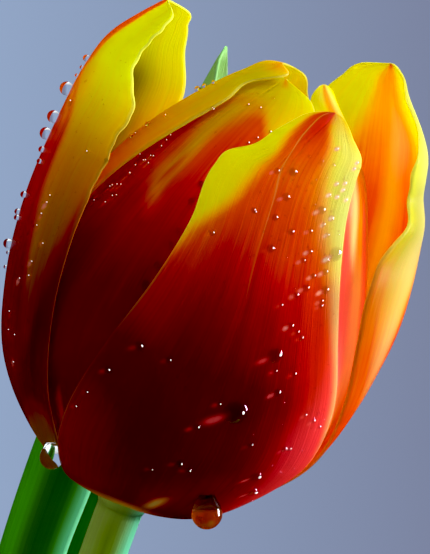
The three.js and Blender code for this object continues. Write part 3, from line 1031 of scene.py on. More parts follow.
@dataclass(frozen=True)
class Heart:
    """The pistil and the six stamens inside the bloom.

    The pistil's rows hold a height, a radius and how far its three lobes swell. The filament's hold a height,
    its distance from the axis and its own radius, and the anther's a height and its own radius.
    """

    count: int = 6
    pistil: Rows = (
        (2.2, 2.6, 0), (6, 3.4, 0.08), (20, 3.2, 0.12), (24, 2.9, 0.15), (25.6, 4.2, 0.35), (27.4, 4.6, 0.42),
        (28.6, 3, 0.42),
    )
    filament: Rows = ((2.6, 4.9, 0.85), (8, 5.8, 0.75), (13.6, 6.7, 0.5))
    anther: Rows = ((11.6, 0.1), (12.6, 1.05), (16, 1.5), (20, 1.4), (23.6, 0.8), (24.6, 0.1))

    def build_pistil(self) -> Piece:
        """Makes the three-lobed pistil."""
        heights = np.linspace(self.pistil[0][0], self.pistil[-1][0], 60)
        turns = circle(72)
        rings = []
        for height, (radius, lobes) in zip(heights, smooth(self.pistil, heights)):
            lobed = radius * (1 + lobes * np.cos(3 * turns))
            rings.append(in_bloom(np.full_like(turns, height), lobed, turns))
        return loft("pistil_fine", rings)

    def one_stamen(self) -> tuple[list[tuple[float, ...]], list[list[int]]]:
        """Vertices and faces of the stamen at azimuth 0, in the bloom's own axes."""
        turns = circle(16)
        sides = len(turns)
        lean = self.filament[-1][1]
        grooved = 1 - 0.22 * np.abs(np.cos(turns)) ** 3
        tubes = [
            [(height, out, np.full(sides, thick)) for height, out, thick in self.filament],
            [(height, lean, thick * grooved) for height, thick in self.anther],
        ]
        points, faces = [], []
        for tube in tubes:
            start = len(points)
            top = start + (len(tube) - 1) * sides
            for height, out, widths in tube:
                points += [(s * math.cos(a), -out - s * math.sin(a), height) for a, s in zip(-turns, widths)]
            for a in range(start, top, sides):
                b = a + sides
                faces += [[a + j, b + j, b + (j + 1) % sides, a + (j + 1) % sides] for j in range(sides)]
            faces += [[start + j for j in range(sides)], [top + j for j in reversed(range(sides))]]
        return points, faces

    def build_stamens(self, material: Material) -> Piece:
        """Makes the ring of stamens in the given finish, turned round the bloom's axis from one of them."""
        piece = mesh_object("stamens_fine", *self.one_stamen())
        tree = GeometryTree("stamens", count=self.count)
        count = tree.source["count"]
        line = tree.made("GeometryNodeMeshLine", {"Count": count, "Offset": (0.0, 0.0, 0.0)})
        number = tree.made("GeometryNodeInputIndex")
        turn = tree.math("MULTIPLY", number, tree.math("DIVIDE", 2 * math.pi, count))
        inputs = {"Points": line, "Instance": tree.source[0], "Rotation": tree.vector(Z=turn)}
        ring = tree.made("GeometryNodeInstanceOnPoints", inputs)
        frame_of_bloom = Matrix((tuple(RIGHT), tuple(-FACING), tuple(AXIS))).transposed().to_euler()
        at = {"Geometry": ring, "Translation": tuple(BLOOM_BASE * MM), "Rotation": tuple(frame_of_bloom)}
        return tree.finish(piece, tree.made("GeometryNodeTransform", at), material)


# The drops of water.


@dataclass(frozen=True)
class Drop:
    """A drop of water.

    x, y and radius are where the photograph shows it, in pixels. glow is how bright the painted light on the
    skin beside it is, where the drop would gather light, and white how pale that painted light is.
    """

    x: float
    y: float
    radius: float
    glow: float = 0.0
    white: float = 0.0


def as_drops(*rows: tuple[float, ...]) -> tuple[Drop, ...]:
    """Drops from rows of their fields."""
    return tuple(Drop(*row) for row in rows)


@dataclass(frozen=True)
class Dew:
    """Drops of water that sit on the bloom.

    flatness is a drop's height over its width, lift how far its middle stands over the skin in radii, and
    detail how finely its round is divided.
    """

    name: str
    flatness: float = 0.62
    lift: float = -0.06
    detail: int = 3

    def build(self, spots: Grid, material: Material) -> Piece:
        """Makes a drop at each spot.

        Args:
            spots: rows of position and outward direction in millimetres, radius in millimetres, and stretch.
            material: the finish of water.

        Returns:
            One mesh with all the drops.
        """
        seeds = mesh_object(self.name, spots[:, :3], [])
        layer = seeds.data.attributes.new("outward", "FLOAT_VECTOR", "POINT")
        layer.data.foreach_set("vector", spots[:, 3:6].ravel().astype(np.float32))
        paint(seeds, bead=spots[:, 6] * MM, stretch=spots[:, 7])
        tree = GeometryTree(self.name, flatness=self.flatness, lift=self.lift, detail=self.detail)
        ball = tree.made("GeometryNodeMeshIcoSphere", {"Radius": 1.0, "Subdivisions": tree.source["detail"]})
        squash = tree.vector(X=1.0, Y=1.0, Z=tree.source["flatness"])
        raised = {"Geometry": ball, "Translation": tree.vector(Z=tree.source["lift"]), "Scale": squash}
        kinds = {"outward": "FLOAT_VECTOR", "bead": "FLOAT", "stretch": "FLOAT"}
        outward, radius, stretch = (
            tree.made("GeometryNodeInputNamedAttribute", {"Name": key}, data_type=kind)
            for key, kind in kinds.items()
        )
        placed = tree.made("GeometryNodeInstanceOnPoints", {
            "Points": tree.made("GeometryNodeMeshToPoints", {"Mesh": tree.source[0]}),
            "Instance": tree.made("GeometryNodeTransform", raised),
            "Rotation": tree.made("FunctionNodeAlignRotationToVector", {"Vector": outward}, axis="Z"),
            "Scale": tree.vector(X=radius, Y=tree.math("MULTIPLY", radius, stretch), Z=radius),
        })
        return tree.finish(seeds, placed, material)


class Sight:
    """Finds the places on the bloom that the photograph's pixels show."""

    def __init__(self, pieces: list[Piece]) -> None:
        """Keeps the surfaces of the pieces that carry drops."""
        self.eye = Vector(EYE)
        self.surfaces = []
        for piece in pieces:
            points = [v.co / MM for v in piece.data.vertices]
            faces = [tuple(p.vertices) for p in piece.data.polygons]
            self.surfaces.append(BVHTree.FromPolygons(points, faces))

    def ray(self, x: float, y: float) -> Vector:
        """The direction from the eye through a pixel."""
        across, down = x - PHOTO_WIDTH / 2, y - PHOTO_HEIGHT / 2
        return Vector((across / FOCAL_PIXELS, 1, -down / FOCAL_PIXELS)).normalized()

    def hits(self, ray: Vector) -> list[tuple]:
        """What a ray from the eye hits on the surfaces, each with its place and normal first."""
        return [hit for hit in (tree.ray_cast(self.eye, ray) for tree in self.surfaces) if hit[0] is not None]

    def nearest(self, ray: Vector, depths: range) -> tuple[Vector, Vector]:
        """What a ray from the eye passes closest to.

        Args:
            ray: its direction.
            depths: how far along it to look, in millimetres.

        Returns:
            The place on the surfaces, and the way from it to the ray.
        """
        best = math.inf
        for depth in depths:
            middle = self.eye + ray * depth
            for tree in self.surfaces:
                near, _, _, distance = tree.find_nearest(middle)
                if distance < best:
                    best, place, outward = distance, near, (middle - near).normalized()
        return place, outward

    def spot(self, drop: Drop) -> tuple[float, ...]:
        """The place where a drop touches the bloom, outward direction, radius in millimetres, and stretch."""
        ray = self.ray(drop.x, drop.y)
        hits = self.hits(ray)
        if hits:
            place, outward, _, _ = min(hits, key=lambda hit: (hit[0] - self.eye).length)
            if outward.dot(ray) > 0:
                outward = -outward
        else:
            place, outward = self.nearest(ray, BLOOM_DEPTHS)
        return (*place, *outward, drop.radius * (place - self.eye).y / FOCAL_PIXELS, 1.0)


@dataclass(frozen=True)
class HangingDrop:
    """A large drop that hangs from the bloom's underside.

    x, y, radius and neck are in pixels of the photograph: where its middle is, its size, and how far above
    the middle its neck meets the bloom. profile runs from its lowest point up, in radii: depth below its
    middle, and half width. Between the two heights of veil, in radii over its middle, its top is painted
    dark, a painted reflection of the petal above it.
    """

    name: str
    x: float
    y: float
    radius: float
    neck: float
    profile: Rows = (
        (1.0, 0.0), (0.97, 0.24), (0.86, 0.51), (0.62, 0.78), (0.3, 0.96), (0.0, 1.0), (-0.35, 0.95),
        (-0.7, 0.8), (-1.0, 0.62), (-1.25, 0.5),
    )
    veil: tuple[float, float] = (0.2, 0.34)

    def build(self, sight: Sight) -> Piece:
        """Makes the drop, whose middle is at its pixel and whose neck runs up into the bloom."""
        ray = sight.ray(self.x, self.y)
        depth = min((hit[0] - sight.eye).y for hit in sight.hits(sight.ray(self.x, self.y - self.neck)))
        centre = np.array(sight.eye + ray * (depth / ray.y))
        radius = self.radius * depth / FOCAL_PIXELS
        table = [(i / (len(self.profile) - 1), *row) for i, row in enumerate(self.profile)]
        rows = [(-z * radius, max(r, 0) * radius) for z, r in smooth(table, np.linspace(0, 1, 40))]
        piece = turned(self.name, [(rows[0][0], 0.0), *rows[1:], (rows[-1][0], 0.0)], 48)
        height = np.array([vertex.co.z for vertex in piece.data.vertices]) / (radius * MM)
        # Painted reflection: the veil layer marks the drop's top, which takes the dark colour of the petal
        # above it.
        paint(piece, veil=fade(height, *self.veil))
        for vertex in piece.data.vertices:
            vertex.co += Vector(centre * MM)
        return piece


@dataclass(frozen=True)
class Mist:
    """Tiny drops scattered over parts of a tepal.

    places hold the lowest and highest share of the length, the same across it, and how many drops lie there.
    The radius runs from smallest up by as much as spread, with few large ones. The skin's slope is measured
    over step.
    """

    tepal: Tepal
    seed: int
    places: Rows
    smallest: float = 0.13
    spread: float = 0.25
    step: float = 0.002

    def spots(self) -> Grid:
        """Rows of place, outward direction, radius and stretch."""
        dice = np.random.default_rng(self.seed)
        rows = []
        for low, high, left, right, count in self.places:
            share = dice.uniform(low, high, count)
            across = dice.uniform(left, right, count)
            radius = self.smallest + self.spread * dice.random(count) ** 3
            spot = self.tepal.surface(share, across)
            way = self.tepal.surface(share + self.step, across) - spot
            side = self.tepal.surface(share, across + self.step) - spot
            outward = unit(np.cross(side, way))
            # The outer skin stands half the thickness out, and the drops sit a little into it.
            raised = spot + outward * self.tepal.thickness * 0.4
            rows.append(np.column_stack([raised, outward, radius, np.ones(count)]))
        return np.vstack(rows)


Effect = tuple[Layer, float, Grid]

# The way from the bloom to the window.
WINDOW_WAY = unit(np.array((1.0, -0.1, 0.3)))


@dataclass(frozen=True)
class PaintedDropLight:
    """The painted light and shade of a drop on the skin: painted shade under it, and a painted rosy or
    white glow beyond, where it would throw light.

    Lengths are in radii of the drop, but for the least ones, which are in millimetres. reach is how far
    round the drop anything changes, dark the size of the shade under it, and throw how far off a rosy glow
    lies. A white glow is wider by white_width, and heat is the skin's heat in the glow.
    """

    reach: float = 4
    dark: float = 0.8
    throw: float = 1.5
    glow_length: float = 0.7
    glow_width: float = 0.24
    white_width: float = 0.14
    least_length: float = 0.4
    least_width: float = 0.26
    heat: float = 0.5

    def paint(self, piece: Piece, drops: tuple[Drop, ...], spots: Grid) -> None:
        """Paints the shade under drops and the glow beside them onto the tepal, as painted shade and light.

        Args:
            piece: the tepal.
            drops: the drops.
            spots: their rows of place, outward direction and radius in millimetres.
        """
        count = len(piece.data.vertices)
        points = np.empty(count * 3, np.float32)
        piece.data.vertices.foreach_get("co", points)
        points = points.reshape(-1, 3) / MM
        layers = {layer: np.empty(count, np.float32) for layer in Layer}
        for layer, values in layers.items():
            piece.data.attributes[layer.value].data.foreach_get("value", values)
        for drop, row in zip(drops, spots):
            near = np.flatnonzero(((points - row[:3]) ** 2).sum(-1) < (self.reach * row[6] + 1) ** 2)
            for layer, value, mask in self.effects(drop, points[near] - row[:3], row[3:6], row[6]):
                layers[layer][near] += (value - layers[layer][near]) * mask
        for layer, values in layers.items():
            piece.data.attributes[layer.value].data.foreach_set("value", values)

    def effects(self, drop: Drop, offset: Grid, outward: Grid, radius: float) -> list[Effect]:
        """The painted shade and glow that a drop puts at places near it.

        Args:
            drop: the drop.
            offset: the places, from the drop's own in millimetres.
            outward: the drop's outward direction.
            radius: its radius in millimetres.

        Returns:
            The layers in order, their new values, and how far each place takes them.
        """
        beam = -unit(WINDOW_WAY - WINDOW_WAY.dot(outward) * outward)
        under = np.exp(-((np.linalg.norm(offset, axis=-1) / (self.dark * radius)) ** 4))
        along = offset @ beam - self.throw * radius * (1 - drop.white**3)
        aside = np.linalg.norm(offset - (offset @ beam)[:, None] * beam, axis=-1)
        long = max(self.glow_length * radius, self.least_length)
        wide = max((self.glow_width + self.white_width * drop.white) * radius, self.least_width)
        glow = np.clip(1.3 * np.exp(-((along / long) ** 2) - (aside / wide) ** 2), 0, 1) * drop.glow
        # Painted shade under the drop, then a painted glow beside it: warmer, rosier, unshaded and lit.
        return [
            (SHADE, min(0.25 + 0.2 * radius, 0.6), under * (1 - drop.white)),
            (HEAT, self.heat, glow),
            (BLUSH_AND_GLOW, 0.9 * (1 - drop.white**2), glow),
            (SHADE, 0.0, glow),
            (GLINT, min(0.1 + drop.white, 1), glow**2),
        ]


@dataclass(frozen=True)
class PaintedGlints:
    """Painted glints: small glowing beads that stand in for the window's reflection, one near the lit edge of
    each drop.

    outward and toward are how far a point stands off the skin and towards the window, and size its own
    radius, in radii of the drop. smallest and largest are in millimetres.
    """

    outward: float = 0.42
    toward: float = 0.55
    size: float = 0.14
    smallest: float = 0.07
    largest: float = 0.16
    stretch: float = 1.7

    def spots(self, drops: Grid) -> Grid:
        """Rows of the points' place, outward direction, radius and stretch, from such rows of the drops."""
        place, outward, radius = drops[:, :3], drops[:, 3:6], drops[:, 6:7]
        toward = unit(WINDOW_WAY - (outward @ WINDOW_WAY)[:, None] * outward)
        above = place + radius * (self.outward * outward + self.toward * toward)
        size = np.clip(self.size * radius, self.smallest, self.largest)
        return np.hstack([above, outward, size, np.full_like(radius, self.stretch)])


# The vase and the studio.


@dataclass(frozen=True)
class Vase:
    """The clear glass bud vase and the water in it.

    meniscus is how high the water climbs the glass and meniscus_reach how soon it falls off. overlap is how
    far the water reaches into the glass, so that no air shows between them.
    """

    sides: int = 128
    wall_rows: int = 110
    lip_rows: int = 10
    meniscus: float = 0.9
    meniscus_reach: float = 1.1
    overlap: float = 0.12

    def radius(self, height: Grid) -> Grid:
        """The vase's outer radius at a height."""
        return smooth(VASE_OUTLINE, height)[..., 0]

    def build_glass(self) -> Piece:
        """Makes the thick-footed vase with its rounded lip."""
        top = VASE_HEIGHT - WALL / 2
        half = WALL / 2
        middle = float(self.radius(np.array(top))) - half
        lip_turns = np.linspace(0, math.pi, self.lip_rows)[1:-1]
        walls = np.linspace(HEEL_RADIUS, top, self.wall_rows)[1:]
        outer = list(zip(walls, self.radius(walls)))
        inner = [(z, r - WALL) for z, r in reversed(outer) if z > FLOOR + FLOOR_FILLET]
        bottom = inner[-1][1]
        # The flat foot and floor have rings between, so that their triangles aren't too long to shade evenly.
        outline = [(0.0, 0.0), (0.0, FOOT_RADIUS * 0.35), (0.0, FOOT_RADIUS * 0.75)]
        for a in np.linspace(0, math.pi / 2, 8):
            outline.append((HEEL_RADIUS * (1 - math.cos(a)), FOOT_RADIUS + HEEL_RADIUS * math.sin(a)))
        outline += outer
        outline += [(top + half * math.sin(a), middle + half * math.cos(a)) for a in lip_turns]
        outline += inner
        for a in np.linspace(0.15, math.pi / 2, 8):
            rise = FLOOR_FILLET * (1 - math.sin(a))
            outline.append((FLOOR + rise, bottom - FLOOR_FILLET * (1 - math.cos(a))))
        outline += [(FLOOR, bottom * 0.7), (FLOOR, bottom * 0.35), (FLOOR, 0.0)]
        return turned("vase_glass", outline, self.sides)

    def build_water(self) -> Piece:
        """Makes the water, which wets the glass and climbs it a little at its edge."""
        low = FLOOR - self.overlap
        levels = np.linspace(FLOOR + FLOOR_FILLET, WATER_LEVEL + self.meniscus, 90)
        wet = [(z, r - WALL + self.overlap) for z, r in zip(levels, self.radius(levels))]
        edge, rim = wet[0][1], wet[-1][1]
        # A flat underside with a rounded edge, the wall, and the surface from the rim inwards.
        outline = [(low, 0.0), (low, edge * 0.4), (low, edge * 0.8), (low, edge - 2.4)]
        outline += [(FLOOR + 0.9, edge - 0.75), *wet]
        for x in (0.3, 0.7, 1.2, 1.8, 2.6, 3.8, 5.5):
            outline.append((WATER_LEVEL + self.meniscus * math.exp(-x / self.meniscus_reach), rim - x))
        outline += [(WATER_LEVEL, rim * 0.5), (WATER_LEVEL, 0.0)]
        return turned("vase_water", outline, self.sides)


@dataclass(frozen=True)
class Softbox:
    """An area light that faces the bloom.

    Azimuth and elevation are in degrees seen from the bloom, and azimuth 0 is the viewer's side and grows to
    the right. Distance and size are in metres, and power is in watts. mirrored tells whether the light itself
    shows in gloss and through glass.
    """

    name: str
    azimuth: float
    elevation: float
    distance: float
    size: tuple[float, float]
    power: float
    colour: Colour
    mirrored: bool = True

    def build(self, target: Vector) -> None:
        """Places the light so that it faces the target, a point in metres."""
        a, e = math.radians(self.azimuth), math.radians(self.elevation)
        way = Vector((math.sin(a) * math.cos(e), -math.cos(a) * math.cos(e), math.sin(e)))
        light = bpy.data.lights.new(self.name, "AREA")
        light.shape = "RECTANGLE"
        light.size, light.size_y = self.size
        light.energy = self.power
        light.color = self.colour
        lamp = bpy.data.objects.new(self.name, light)
        lamp.visible_glossy = lamp.visible_transmission = self.mirrored
        lamp.location = target + way * self.distance
        lamp.rotation_euler = way.to_track_quat("Z", "Y").to_euler()
        bpy.context.scene.collection.objects.link(lamp)


@dataclass(frozen=True)
class Studio:
    """The floor, the pale grey-blue backdrop, the lights and the camera.

    The backdrop turns from its left to its right colour over backdrop_width, in units of direction. ambient
    is the light that it sheds on dull things, and mirrored what gloss shows of it. The lights face the bloom
    at aim millimetres above its base.
    """

    floor_radius: float = 1.2
    floor_sides: int = 96
    floor_colour: Colour = (0.6, 0.63, 0.68)
    backdrop_left: Colour = (0.300, 0.400, 0.585)
    backdrop_right: Colour = (0.200, 0.232, 0.350)
    backdrop_width: float = 0.18
    ambient: Colour = (0.16, 0.145, 0.15)
    mirrored: Colour = (0.02, 0.022, 0.026)
    black_level: Colour = (0.008, 0.014, 0.016)
    aim: float = 35
    boxes: tuple[Softbox, ...] = (
        Softbox("window", 102, 2, 0.9, (0.2, 0.4), 9.0, (0.93, 0.95, 1.0)),
        Softbox("side", 77, 20, 0.9, (0.5, 0.7), 12.6, (1.0, 1.0, 0.97), False),
        Softbox("bounce", 45, -16, 0.9, (0.5, 0.4), 3.2, (1.0, 0.98, 0.96), False),
        Softbox("back", 150, 38, 1.0, (0.7, 0.7), 16.0, (0.94, 1.0, 0.97), False),
        Softbox("overhead", -20, 72, 0.9, (0.8, 0.8), 5.6, (1.0, 1.0, 1.0), False),
        Softbox("fill", -72, 1, 1.2, (0.6, 0.5), 3.8, (1.0, 0.98, 0.96), False),
    )

    def build_world(self) -> None:
        """Makes the backdrop, which also lights the scene faintly."""
        world = bpy.data.worlds.new("studio")
        bpy.context.scene.world = world
        n = ShaderTree(world)
        side = n.add("SeparateXYZ", {0: n.add("TexCoord").outputs["Generated"]}).outputs["X"]
        edges = {"From Min": -self.backdrop_width / 2, "From Max": self.backdrop_width / 2}
        place = n.add("MapRange", {"Value": side, **edges}).outputs["Result"]
        rays = n.add("LightPath").outputs
        seen = n.math("MAXIMUM", rays["Is Camera Ray"], rays["Is Transmission Ray"])
        faint = n.mix(rays["Is Diffuse Ray"], self.mirrored, self.ambient)
        backdrop = n.mix(place, self.backdrop_left, self.backdrop_right)
        n.finish(n.made("Background", {"Color": n.mix(seen, faint, backdrop)}), "OutputWorld")

    def build_floor(self) -> None:
        """Makes the round floor."""
        radius = self.floor_radius / MM
        points = [(radius * math.cos(a), radius * math.sin(a), 0) for a in circle(self.floor_sides)]
        floor = mesh_object("floor", np.array(points), [list(range(self.floor_sides))])
        floor.data.materials.append(Plaster("floor", self.floor_colour).material())
        floor.visible_diffuse = floor.visible_glossy = False

    def build_camera(self) -> None:
        """Makes the camera that looks level at the bloom, as the photograph does."""
        camera = bpy.data.cameras.new("camera")
        camera.sensor_width = SENSOR
        camera.sensor_fit = "HORIZONTAL"
        camera.lens = FOCAL_PIXELS * SENSOR / PHOTO_WIDTH
        camera.clip_start = 0.01
        viewer = bpy.data.objects.new("camera", camera)
        viewer.location = Vector(EYE) * MM
        viewer.rotation_euler = (math.pi / 2, 0, 0)
        bpy.context.scene.collection.objects.link(viewer)
        bpy.context.scene.camera = viewer

    def build(self) -> None:
        """Makes everything that isn't the part."""
        self.build_camera()
        self.build_world()
        self.build_floor()
        target = Vector(BLOOM_BASE + self.aim * AXIS) * MM
        for box in self.boxes:
            box.build(target)
        self.develop()

    def develop(self) -> None:
        """Gives the picture the photograph's deep blacks and full colours."""
        view = bpy.context.scene.view_settings
        view.view_transform = "Standard"
        view.use_curve_mapping = True
        view.curve_mapping.black_level = self.black_level
        view.curve_mapping.update()


# This flower, measured off the photograph.

OUTER_FRONT = Tepal(
    name="outer_front",
    slot="tepal_red",
    rounding=(0.975, 0.5),
    stations=(
        (-0.2, 3.2, 14, 50, 0, 50, 0),
        (-0.3, 8.5, 14, 50, 0.3, 50, -0.4),
        (1.8, 14.3, 14, 50, 1, 58, -1),
        (6.8, 19.8, 14, 48, 1, 60, -1),
        (13.5, 24.3, 13.6, 43, 0.5, 57, -0.3),
        (24, 27.6, 13, 35, 0, 46, 0),
        (36, 29.2, 12, 26, 0, 31.6, 0),
        (46, 29, 10, 20.3, 0, 25.2, 0),
        (54, 28.2, 9.3, 19.3, 0, 22, 0),
        (56.6, 27.8, 9.6, 17.5, 0, 21.3, 0),
        (58.5, 27.6, 10.3, 12.5, 0, 20.4, 0),
        (61.5, 27.2, 12.5, 10, 0, 17.8, 0),
        (65, 26.8, 16.5, 7.6, 0, 6.9, 0),
        (66.4, 26.6, 17.5, 6, 0, 5, 0),
    ),
    outside=Flame(
        rows=(
            (0.0, -1.5, 1.5, 0.9, 0.3), (0.12, -1.5, 1.5, 1.0, 0.3), (0.3, -1.4, 1.4, 1.04, 0.3),
            (0.5, -1.3, 1.3, 1.02, 0.3), (0.57, -1.2, 1.25, 0.88, 0.3), (0.65, -1.1, 1.12, 0.73, 0.3),
            (0.70, -0.98, 0.95, 0.62, 0.14), (0.734, -0.91, 0.83, 0.57, 0.1),
            (0.756, -0.80, 0.83, 0.55, 0.08), (0.778, -0.675, 0.83, 0.52, 0.06),
            (0.816, -0.49, 0.76, 0.49, 0.04), (0.84, -0.43, 0.72, 0.47, 0.03), (0.88, -0.38, 0.6, 0.45, 0.02),
            (0.93, -0.56, 0.43, 0.5, 0.04), (0.955, -0.66, 0.32, 0.58, 0.06),
            (0.985, -0.79, 0.06, 0.64, 0.14), (1.0, -0.85, -0.05, 0.66, 0.16),
        ),
        feather=0.34,
        strokes=(
            # The right side is lighter and rosier: partly its own colour, partly a painted highlight where
            # light grazes it.
            Stroke(HEAT, 0.6, (
                (0.14, 1.0, 0.3, 0), (0.22, 1.0, 0.36, 0.8), (0.4, 1.0, 0.48, 1), (0.5, 1.0, 0.46, 1),
                (0.6, 1.0, 0.5, 1), (0.7, 0.95, 0.3, 0.7), (0.76, 0.9, 0.2, 0),
            )),
            Stroke(BLUSH_AND_GLOW, 0.7, (
                (0.14, 0.9, 0.2, 0), (0.22, 0.82, 0.3, 1), (0.32, 0.85, 0.28, 1), (0.42, 0.86, 0.26, 1),
                (0.5, 0.93, 0.2, 1), (0.58, 1.0, 0.14, 0.9), (0.66, 1.0, 0.08, 0.5), (0.72, 1.0, 0.06, 0),
            )),
            # The pale right margin: partly its own colour, partly painted highlight.
            Stroke(PALE, 0.75, (
                (0.34, 1.0, 0.02, 0), (0.45, 1.0, 0.05, 0.55), (0.6, 1.0, 0.07, 0.65),
                (0.68, 0.99, 0.11, 0.65), (0.74, 0.98, 0.15, 0.7), (0.8, 0.95, 0.24, 0.9),
                (0.9, 0.9, 0.34, 1.0), (0.97, 0.6, 0.3, 0.4), (1.0, 0.4, 0.3, 0),
            )),
            Stroke(HEAT, 0.82, (
                (0.04, -0.8, 0.5, 1), (0.2, -0.85, 0.4, 1), (0.36, -0.9, 0.3, 0.8), (0.46, -1.0, 0.2, 0),
            )),
            Stroke(PALE, 0.55, (
                (0.6, 0.015, 0.01, 0), (0.72, -0.03, 0.01, 0.25), (0.84, -0.04, 0.012, 0.5),
                (0.93, -0.22, 0.018, 0.6), (1.0, -0.55, 0.03, 0.4),
            )),
            # Painted highlight: a pink spot at the tip.
            Stroke(BLUSH_AND_GLOW, 0.5, ((0.965, -0.05, 0.06, 0), (0.985, -0.03, 0.25, 0.9), (1.0, 0.0, 0.4, 0.9))),
            # Painted shade over the right margin and over the middle of the left half.
            Stroke(SHADE, 0.15, (
                (0.6, 1.0, 0.1, 0), (0.68, 0.98, 0.16, 0.9), (0.78, 0.95, 0.26, 1), (0.88, 0.9, 0.34, 1),
                (0.95, 0.8, 0.3, 0),
            )),
            Stroke(SHADE, 0.25, (
                (0.48, -0.4, 0.3, 0), (0.58, -0.4, 0.35, 1), (0.7, -0.4, 0.35, 1), (0.8, -0.3, 0.3, 0),
            )),
            Stroke(HEAT, 0.8, (
                (0.14, 0.2, 0.3, 0), (0.2, 0.2, 0.4, 0.8), (0.27, 0.3, 0.3, 0.5), (0.33, 0.3, 0.2, 0),
            )),
            Stroke(HEAT, 0.15, (
                (0.06, -0.3, 0.5, 0.9), (0.12, -0.3, 0.45, 0.9), (0.135, -0.3, 0.4, 0.5),
                (0.15, -0.2, 0.3, 0),
            )),
            Stroke(PALE, 0.5, (
                (0.06, -0.3, 0.5, 0.6), (0.12, -0.3, 0.45, 0.6), (0.135, -0.3, 0.4, 0.3),
                (0.15, -0.2, 0.3, 0),
            )),
            Stroke(HEAT, 0.1, (
                (0.145, -0.01, 0.05, 0), (0.17, 0.01, 0.05, 0.9), (0.195, 0.04, 0.045, 0.8),
                (0.22, 0.08, 0.02, 0),
            )),
            Stroke(PALE, 0.8, (
                (0.145, -0.01, 0.05, 0), (0.17, 0.01, 0.045, 0.8), (0.195, 0.04, 0.04, 0.7),
                (0.22, 0.08, 0.02, 0),
            )),
        ),
    ),
    inside=Flame(
        rows=(
            (0.0, -0.5, 0.5, 0.2, 0.1), (0.3, -0.6, 0.6, 0.6, 0.1), (0.8, -0.5, 0.5, 0.5, 0.06),
            (1.0, -0.4, 0.4, 0.45, 0.1),
        ),
    ),
    row_count=290,
    column_count=160,
)

